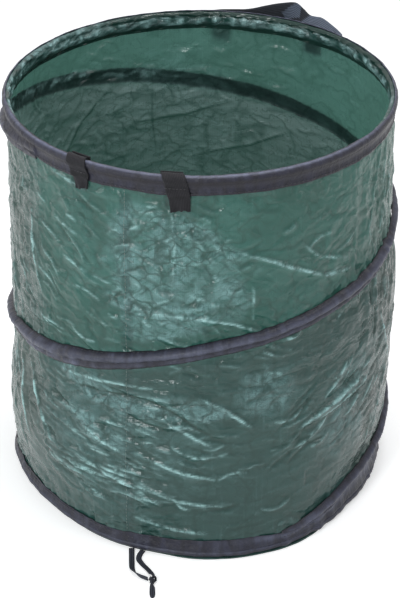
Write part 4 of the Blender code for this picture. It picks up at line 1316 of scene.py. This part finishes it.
def add_base_cloth():
    turn = np.arange(360) * 1.0
    reach = np.linspace(0.0, 1.0, 60) * base_panel_radius
    turn_grid, reach_grid = np.meshgrid(turn, reach, indexing="ij")
    x = reach_grid * np.cos(np.radians(turn_grid)) / 0.5 + 0.5
    y = reach_grid * np.sin(np.radians(turn_grid)) / 0.5 + 0.5
    dents = np.clip(layered_noise(x, y, 9, 9, 121), -0.4, 1.0)
    creases = np.clip(ridged(layered_noise(x, y, 7, 7, 122)) - 0.4, 0.0, 1.0)
    crushed = facets(x, y, 24, 24, 123)[0]
    settled = smooth_step((base_panel_radius - 0.006 - reach_grid) / 0.03)
    height = 0.0009 + settled * (0.0011 + 0.0011 * dents + 0.0014 * creases + 0.0006 * crushed)
    height = np.maximum(height, 0.0006)
    outer = reach_grid / base_panel_radius
    wave = 0.0007 * layered_noise(turn_grid / 360.0, 0.5, 60, 2, 124) * outer ** 20
    lip = foot_pull(turn_grid) * outer ** 3 - 0.0040 + 0.0034 * arc_patch(turn_grid, 284.0, 22.0)
    points = polar_points(np.maximum(reach_grid + wave + lip, 0.0), turn_grid, height)
    # level 1 gives the whole panel the lower wall's painted shade; a faint painted sheen over it; paler
    # creases
    item = grid_mesh("base_cloth", points, base_cloth, points[..., 0], points[..., 1], True,
                     wear=creases * settled * 0.6, haze=0.08, level=1.0, calm=0.65)
    thicken(item, 0.0007)
    dress(item, "base", "base_panel")
    wire_path = polar_points(base_wire_radius + foot_pull(turn), turn, base_wire_height)
    wire = round_tube("base_spring", wire_path, wire_radius, spring_steel, 10)
    dress(wire, "base", "base_hoop_wire")


# Handles
def strap_mesh(name, rows, normals, surface, body, node, faded):
    """A strap through rows of (first edge, second edge), rippled a little, most towards its edges."""
    rows = np.asarray(rows, float)
    normals = np.asarray(normals, float)
    shares = np.linspace(-1.0, 1.0, 11)
    middle = (rows[:, 0] + rows[:, 1]) / 2.0
    half = (rows[:, 1] - rows[:, 0]) / 2.0
    length = travelled_along(middle)[:, None]
    noise = layered_noise(length / 0.4, (shares[None] + 1.0) / 8.0, 40, 4, len(name) * 7)
    points = (middle[:, None] + half[:, None] * shares[None, :, None]
              + normals[:, None] * (0.0006 * noise[..., None] * (0.3 + np.abs(shares))[None, :, None]))
    width = shares[None] * np.linalg.norm(half, axis=1)[:, None]
    item = grid_mesh(name, points, surface, length, width, faded=faded)
    thicken(item, webbing_thickness)
    dress(item, body, node)
    return item


# Sewn ends: piece, solid, middle angle, last angle of its turn over the rim, lower edge of its
# flap, slant, how far the flap curls outwards, how much it narrows
handle_ends = (
    ("front_tab_left", "front_handle_left_end", seam_angle - handle_half_angle, 157.0,
     0.4595, -3.0, 0.0020, 0.42),
    ("front_tab_right", "front_handle_right_end", seam_angle + handle_half_angle, 157.0,
     0.4530, -3.0, 0.0030, 0.16),
    ("back_tab_left", "back_handle_left_end", back_left_angle, 22.0, 0.4540, -3.0, 0.0012, 0.16),
    ("back_tab_right", "back_handle_right_end", back_right_angle, 22.0, 0.4530, -0.4, 0.0015, 0.16))


def handle_end(name, node, middle_angle, last_turn, flap_low, skew, curl, narrowing):
    """A sewn end: a ragged flap below the tape, up the rim's outside, and round the top."""
    half = math.degrees(webbing_width / 2.0 / ring_radius)
    leg = ring_radius + 0.0033
    course = [(leg + curl, flap_low), (leg + 0.4 * curl, flap_low + 0.006)]
    course += [(leg, height) for height in np.linspace(flap_low + 0.012, 0.480, 6)]
    lap_length = len(course)
    arc_out, arc_up = arc_profile(0.0064, -22.0, last_turn, 12)
    course += zip(ring_radius + arc_out, rim_wire_height + arc_up)
    shares = np.linspace(-1.0, 1.0, 15)
    ragged = 0.0022 * value_noise(shares * 0.5 + 0.5, 0.3, 9, 2, int(middle_angle))
    points = []
    for number, (radius, height) in enumerate(course):
        from_bottom = max(0.0, 1.0 - number / 4.0)
        slant = skew * (number / (len(course) - 1.0) - 0.5)
        angle = middle_angle + half * shares * (1.0 - narrowing * from_bottom) + slant
        level = height + ragged * from_bottom + 0.0012 * shares * from_bottom
        reach = np.full(shares.shape, radius)
        if number < lap_length:
            covered = wall_reach(angle, level, tape_detail) + spiral_cover(angle, level) + 0.0022
            reach = np.maximum(reach, covered)
        reach = reach + 0.0007 * np.sin(4.0 * shares + number * 1.1 + middle_angle) * (0.45 + from_bottom)
        reach = reach + 0.0016 * np.maximum(0.0, 1.0 - np.abs(level - 0.4735) / 0.0045)
        points.append(polar_points(reach, angle, level))
    points = np.array(points)
    length = travelled_along(points[:, 7])[:, None]
    # painted light on the tab: uneven, with a line of painted shade at the flap's fold and a lit band just
    # above it
    faded = 0.75 + 0.25 * layered_noise(length / 0.1, (shares[None] + 1.0) / 4.0, 12, 6, 131)
    faded = faded - 0.8 * np.exp(-((length - 0.016 - 0.002 * shares[None]) / 0.0015) ** 2)
    faded = faded + 0.5 * np.exp(-((length - 0.0205) / 0.0022) ** 2)
    item = grid_mesh(name, points, tab_webbing, length, shares[None] * webbing_width / 2.0, faded=faded)
    thicken(item, webbing_thickness)
    dress(item, "rim", node)
    stitched = np.meshgrid((0.4725, 0.4785), np.linspace(-0.8, 0.8, 6), indexing="ij")
    level, share = (field.reshape(-1) for field in stitched)
    angle = middle_angle + half * share
    reach = np.maximum(leg, wall_reach(angle, level, tape_detail) + 0.0022 + spiral_cover(angle, level))
    stitches = stitch_line(
        name + "_stitches", polar_points(reach + 0.0009, angle, level),
        polar_points(1.0, angle + 90.0, 0.0), polar_points(1.0, angle, 0.0), dark_thread, 0.0029, 0.00035)
    dress(stitches, "rim")


def loop_rows(handle_angle, pivot, depth, headings, twist_share):
    """Edges and normals of a handle's loop, which turns a quarter turn between end and grip."""
    out_axis = np.array((math.cos(math.radians(handle_angle)), math.sin(math.radians(handle_angle)), 0.0))
    chord_axis = np.array((-out_axis[1], out_axis[0], 0.0))
    up_axis = np.array((0.0, 0.0, 1.0))
    half_chord = float(np.linalg.norm(pivot[:2])) * math.tan(math.radians(handle_half_angle))

    def middle_at(turn):
        share = math.sin(turn)
        outward = upward = 0.0
        for index in range(40):
            passed = share * (index + 0.5) / 40.0
            heading = math.radians(headings[1] + (headings[0] - headings[1]) * (1.0 - passed))
            outward += math.cos(heading) * depth * share / 40.0
            upward += math.sin(heading) * depth * share / 40.0
        heading = math.radians(headings[1] + (headings[0] - headings[1]) * (1.0 - share))
        point = chord_axis * (-half_chord * math.cos(turn)) + out_axis * outward + up_axis * upward
        return point, -out_axis * math.sin(heading) + up_axis * math.cos(heading)

    steps = 90
    rows, normals = [], []
    for index in range(steps + 1):
        share = index / steps
        turn = math.pi * share
        point, face = middle_at(turn)
        along = middle_at(min(turn + 0.02, math.pi))[0] - middle_at(max(turn - 0.02, 0.0))[0]
        along = along / np.linalg.norm(along)
        ease = float(smooth_step(min(share, 1.0 - share) / twist_share))
        twist = math.radians(90.0) * ease
        flat_side = np.cross(face, along)
        end_angle = handle_angle + (handle_half_angle if share >= 0.5 else -handle_half_angle) + 90.0
        end_side = polar_points(1.0, end_angle, 0.0)
        if end_side @ flat_side < 0.0:
            end_side = -end_side
        level = math.cos(twist)
        across = (flat_side * (1.0 - level) + end_side * level) * level + face * math.sin(twist)
        across = across - along * (across @ along) * (1.0 - level)
        across = across / np.linalg.norm(across)
        rows.append((pivot + point - across * webbing_width / 2.0,
                     pivot + point + across * webbing_width / 2.0))
        normals.append(np.cross(along, across))
    return rows, normals


def skewed_ends(rows, degrees):
    """The loop's rows, with both ends turned about the bag's axis to meet the slanting tabs."""
    moved = []
    last = len(rows) - 1
    for index, row in enumerate(rows):
        turn = math.radians(degrees) * float(1.0 - smooth_step(min(index, last - index) / last / 0.16))
        cosine, sine = math.cos(turn), math.sin(turn)
        moved.append([np.array((x * cosine - y * sine, x * sine + y * cosine, z)) for x, y, z in row])
    return moved


# The back handle's loop: its upper and its lower edge from the left tab to the right one, as it
# rises on edge behind the rim, folds over its highest point and droops outwards on the right
back_loop_upper = (
    (0.0139, 0.2280, 0.4903), (0.0300, 0.2300, 0.4915), (0.0591, 0.2330, 0.4903), (0.0814, 0.2380, 0.4928),
    (0.1024, 0.2420, 0.4945), (0.1186, 0.2440, 0.4940), (0.1286, 0.2430, 0.4860), (0.1372, 0.2380, 0.4794),
    (0.1505, 0.2310, 0.4791), (0.1636, 0.2180, 0.4741), (0.1740, 0.2020, 0.4698), (0.1690, 0.1830, 0.4780),
    (0.1569, 0.1660, 0.4903))
back_loop_lower = (
    (0.0397, 0.2249, 0.4903), (0.0470, 0.2280, 0.4850), (0.0667, 0.2320, 0.4702), (0.0866, 0.2370, 0.4696),
    (0.1040, 0.2400, 0.4705), (0.1090, 0.2400, 0.4712), (0.1163, 0.2360, 0.4676), (0.1236, 0.2290, 0.4639),
    (0.1331, 0.2200, 0.4639), (0.1451, 0.2100, 0.4630), (0.1532, 0.2010, 0.4661), (0.1480, 0.1930, 0.4770),
    (0.1371, 0.1827, 0.4903))


def back_loop_fading(station, share):
    """Which parts of the back loop are painted as the face turned to the light, from 0 to 1."""
    first = np.interp(share, (-1.0, 0.0, 1.0), (5.0, 3.8, 4.2))
    last = np.interp(share, (-1.0, 0.0, 0.6, 1.0), (5.7, 6.2, 5.4, 4.4))
    fold = smooth_step((station - first) / 0.15) * smooth_step((last - station) / 0.2)
    droop = smooth_step((station - 6.8 + 0.35 * (share + 1.0)) / 0.3)
    return np.maximum(fold, droop)


def add_back_strap():
    upper = np.array(smooth_route(back_loop_upper, 120))
    lower = np.array(smooth_route(back_loop_lower, 120))
    normals = unit(np.cross(np.gradient((upper + lower) / 2.0, axis=0), lower - upper))
    station = np.linspace(0.0, len(back_loop_upper) - 1.0, len(upper))
    faded = back_loop_fading(station[:, None], np.linspace(-1.0, 1.0, 11)[None])
    strap_mesh("back_strap", np.stack((upper, lower), 1), normals, webbing, "back_handle",
               "back_handle_strap", faded)


def add_handles():
    for values in handle_ends:
        handle_end(*values)
    rows, normals = loop_rows(seam_angle, front_hinge, 0.085, (-96.0, -90.0), 0.3)
    item = strap_mesh("front_strap", skewed_ends(rows, -1.5), normals, tab_webbing, "front_handle",
                      "front_handle_strap", 0.8)
    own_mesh(item)
    add_back_strap()


# Ties: each place as x, y and how far the ribbon leans there, in degrees
tie_left_route = (
    (-0.0801, -0.2196, 0.0), (-0.0797, -0.2330, 0.0), (-0.0793, -0.2470, 4.0),
    (-0.0786, -0.2590, 20.0), (-0.0752, -0.2690, 50.0), (-0.0690, -0.2765, 75.0),
    (-0.0599, -0.2825, 78.0))
tie_right_route = (
    (-0.0667, -0.2240, 0.0), (-0.0702, -0.2310, 0.0), (-0.0712, -0.2400, 0.0),
    (-0.0672, -0.2500, 8.0), (-0.0610, -0.2600, 12.0), (-0.0556, -0.2705, 20.0),
    (-0.0544, -0.2770, 70.0))
tie_tail_route = ((-0.0543, -0.2913, 70.0), (-0.0546, -0.2985, 20.0), (-0.0542, -0.3150, 0.0))
tie_knot_centre = (-0.0545, -0.2842)
tie_knot_radii = (0.0050, 0.0068, 0.0036)
tie_angle = 251.6


def smooth_route(points, count):
    route = [Vector(point) for point in points]
    route = [route[0] * 2.0 - route[1]] + route + [route[-1] * 2.0 - route[-2]]
    smooth = []
    for index in range(count + 1):
        place = (len(points) - 1) * index / count
        span = min(int(place), len(points) - 2)
        share = place - span
        before, start, end, after = route[span:span + 4]
        smooth.append(0.5 * (
            2.0 * start + (end - before) * share
            + (2.0 * before - 5.0 * start + 4.0 * end - after) * share ** 2
            + (3.0 * start - before - 3.0 * end + after) * share ** 3))
    return smooth


def add_ribbon(name, node, route, half_turn, on_panel=True, count=36):
    """A stretch of ribbon on the ground, with its middle line and its length."""
    middle = smooth_route(route, count)
    shares = np.linspace(-1.0, 1.0, 13)
    points, line = [], []
    travelled = 0.0
    for index, place in enumerate(middle):
        before = middle[max(index - 1, 0)]
        after = middle[min(index + 1, len(middle) - 1)]
        along = Vector((after.x - before.x, after.y - before.y, 0.0)).normalized()
        travelled += (place.xy - before.xy).length
        lean = math.radians(place.z)
        across = Vector((along.y, -along.x, 0.0)) * math.cos(lean) + Vector((0.0, 0.0, math.sin(lean)))
        face = across.cross(along)
        height = 0.0001 + (ribbon_width * math.sin(lean) + ribbon_thickness * math.cos(lean)) / 2.0
        width = ribbon_width / 2.0
        if on_panel:
            lifted = max(0.0013 + ribbon_thickness / 2.0, height)
            height = lifted + (height - lifted) * min(travelled / 0.008, 1.0)
        else:
            left = min(1.0, (len(middle) - 1 - index) / 4.0)
            width *= math.sqrt(left * (2.0 - left) * 0.92 + 0.08)
        centre = Vector((place.x, place.y, height))
        line.append((centre.x * half_turn, centre.y * half_turn, centre.z))
        row = []
        for share in shares:
            point = centre + across * width * share + face * 0.00012 * math.cos(share * 9.4)
            row.append((point.x * half_turn, point.y * half_turn, max(point.z, 0.00045)))
        points.append(row)
    length = travelled_along(np.array(line))
    item = grid_mesh(name, np.array(points), ribbon, length[:, None], shares[None] * ribbon_width / 2.0,
                     faded=0.8)
    thicken(item, tape_thickness)
    dress(item, "base", node)
    return item, line, float(length[-1])


def add_knot(name, node, half_turn):
    """An overhand knot of flat ribbon pulled tight."""
    count = 96
    turn = np.arange(count) * math.tau / count
    x = (np.sin(turn) + 2.0 * np.sin(2.0 * turn)) / 3.0
    y = (np.cos(turn) - 2.0 * np.cos(2.0 * turn)) / 3.0
    z = -np.sin(3.0 * turn)
    radii = np.array(tie_knot_radii)
    path = np.stack((x, y, z), -1) * (radii - (0.0012, 0.0014, 0.0012))
    outward = unit(path)
    across = unit(np.cross(unit(np.roll(path, -1, 0) - np.roll(path, 1, 0)), outward))
    shares = np.linspace(-1.0, 1.0, 7)
    points = path[:, None] + across[:, None] * shares[None, :, None] * 0.0021
    points = points + outward[:, None] * (0.00025 * np.cos(shares * 6.0))[None, :, None]
    points = np.clip(points, -radii + 0.0004, radii - 0.0004)
    points = points + (*tie_knot_centre, radii[2] + 0.0001)
    points[..., :2] *= half_turn
    item = grid_mesh(name, points, ribbon, (np.arange(count) * 0.0006)[:, None], shares[None] * 0.0033,
                     True, faded=0.55)
    thicken(item, tape_thickness)
    dress(item, "base", node)
    return item


def add_tie(label, half_turn):
    left, left_line, left_length = add_ribbon(
        label + "_ribbon_left", label + "_left_strand", tie_left_route, half_turn)
    right, right_line, right_length = add_ribbon(
        label + "_ribbon_right", label + "_right_strand", tie_right_route, half_turn)
    tail = add_ribbon(label + "_ribbon_tail", label + "_tail", tie_tail_route, half_turn, False, 18)[0]
    knot = add_knot(label + "_ribbon_knot", label + "_knot", half_turn)
    angle = np.linspace(-2.6, 2.6, 22) + tie_angle - (0.0 if half_turn > 0.0 else 180.0)
    reach = np.linspace(base_panel_radius - 0.0055, base_panel_radius + 0.0002, 6)
    height = 0.00175 + 0.0001 * np.cos(np.arange(6) * 2.2)
    points = polar_points(reach[None], angle[:, None], height[None])
    anchor = grid_mesh(label + "_ribbon_anchor", points, ribbon, angle[:, None] * 0.004, reach[None],
                       faded=0.6)
    thicken(anchor, tape_thickness)
    dress(anchor, "base", label + "_anchor")


add_tie("front_tie", 1.0)
add_tie("back_tie", -1.0)
add_wall()
add_seam()
add_spiral()
add_rim_tape()
add_hem()
add_base_tape()
add_base_cloth()
add_handles()

# The rim's wire and the ferrules keep their form and take their steel
for name, surface in (("rim_hoop_wire", spring_steel), ("rim_hoop_ferrule", ferrule_steel),
                      ("base_hoop_ferrule", ferrule_steel)):
    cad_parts[name].material_slots[0].material = surface


# Stage and light
def plain_view(tree):
    """1 for the camera's rays and for those that gloss and glass send on, 0 for the others."""
    path = tree.nodes.new("ShaderNodeLightPath")
    value = path.outputs["Is Camera Ray"]
    for name in ("Is Glossy Ray", "Is Transmission Ray"):
        larger = tree.nodes.new("ShaderNodeMath")
        larger.operation = "MAXIMUM"
        tree.links.new(value, larger.inputs[0])
        tree.links.new(path.outputs[name], larger.inputs[1])
        value = larger.outputs[0]
    return value


def add_floor():
    reach, level = 9.0, -0.0004
    corners = [(x * reach, y * reach, level) for x, y in ((-1, -1), (1, -1), (1, 1), (-1, 1))]
    mesh = bpy.data.meshes.new("floor")
    mesh.from_pydata(corners, [], [(0, 1, 2, 3)])
    shade = Shade("floor_pale")
    glow = shade.times(plain_view(shade.tree), 0.55)
    shade.fill(shade.surface, Base_Color=tint(0.80, 0.80, 0.80), Roughness=0.9, Specular_IOR_Level=0.1,
               Emission_Color=tint(1.0, 1.0, 1.0), Emission_Strength=glow)
    linked("floor", mesh, shade.material)


def add_world():
    world = bpy.data.worlds.new("studio")
    bpy.context.scene.world = world
    world.use_nodes = True
    tree = world.node_tree
    light = tree.nodes["Background"]
    light.inputs["Color"].default_value = tint(0.93, 0.96, 1.0)
    light.inputs["Strength"].default_value = 0.24
    white = tree.nodes.new("ShaderNodeBackground")
    white.inputs["Color"].default_value = tint(1.0, 1.0, 1.0)
    white.inputs["Strength"].default_value = 1.0
    mixer = tree.nodes.new("ShaderNodeMixShader")
    tree.links.new(plain_view(tree), mixer.inputs[0])
    tree.links.new(light.outputs[0], mixer.inputs[1])
    tree.links.new(white.outputs[0], mixer.inputs[2])
    tree.links.new(mixer.outputs[0], tree.nodes["World Output"].inputs["Surface"])


# Lamps: name, place, width, height, watts, colour
lamps = (
    ("key", (-1.05, -2.45, 1.35), 0.45, 1.4, 34.0, (0.95, 1.0, 1.0)),
    ("left", (-2.4, -0.7, 1.0), 0.5, 1.4, 14.0, (0.95, 1.0, 1.0)),
    ("right", (2.2, -1.25, 0.95), 0.4, 1.2, 6.5, (0.98, 0.99, 1.0)),
    ("top", (0.2, 0.1, 2.8), 1.1, 1.1, 42.0, (1.0, 1.0, 1.0)))


def add_lamp(name, place, width, height, power, color):
    data = bpy.data.lights.new(name, "AREA")
    data.shape = "RECTANGLE"
    data.size = width
    data.size_y = height
    data.energy = power
    data.color = color
    item = bpy.data.objects.new(name, data)
    item.location = place
    item.rotation_euler = (Vector(lamp_aim) - Vector(place)).to_track_quat("-Z", "Y").to_euler()
    bpy.context.scene.collection.objects.link(item)


add_floor()
add_world()
for values in lamps:
    add_lamp(*values)
bpy.context.scene.view_settings.view_transform = "Standard"
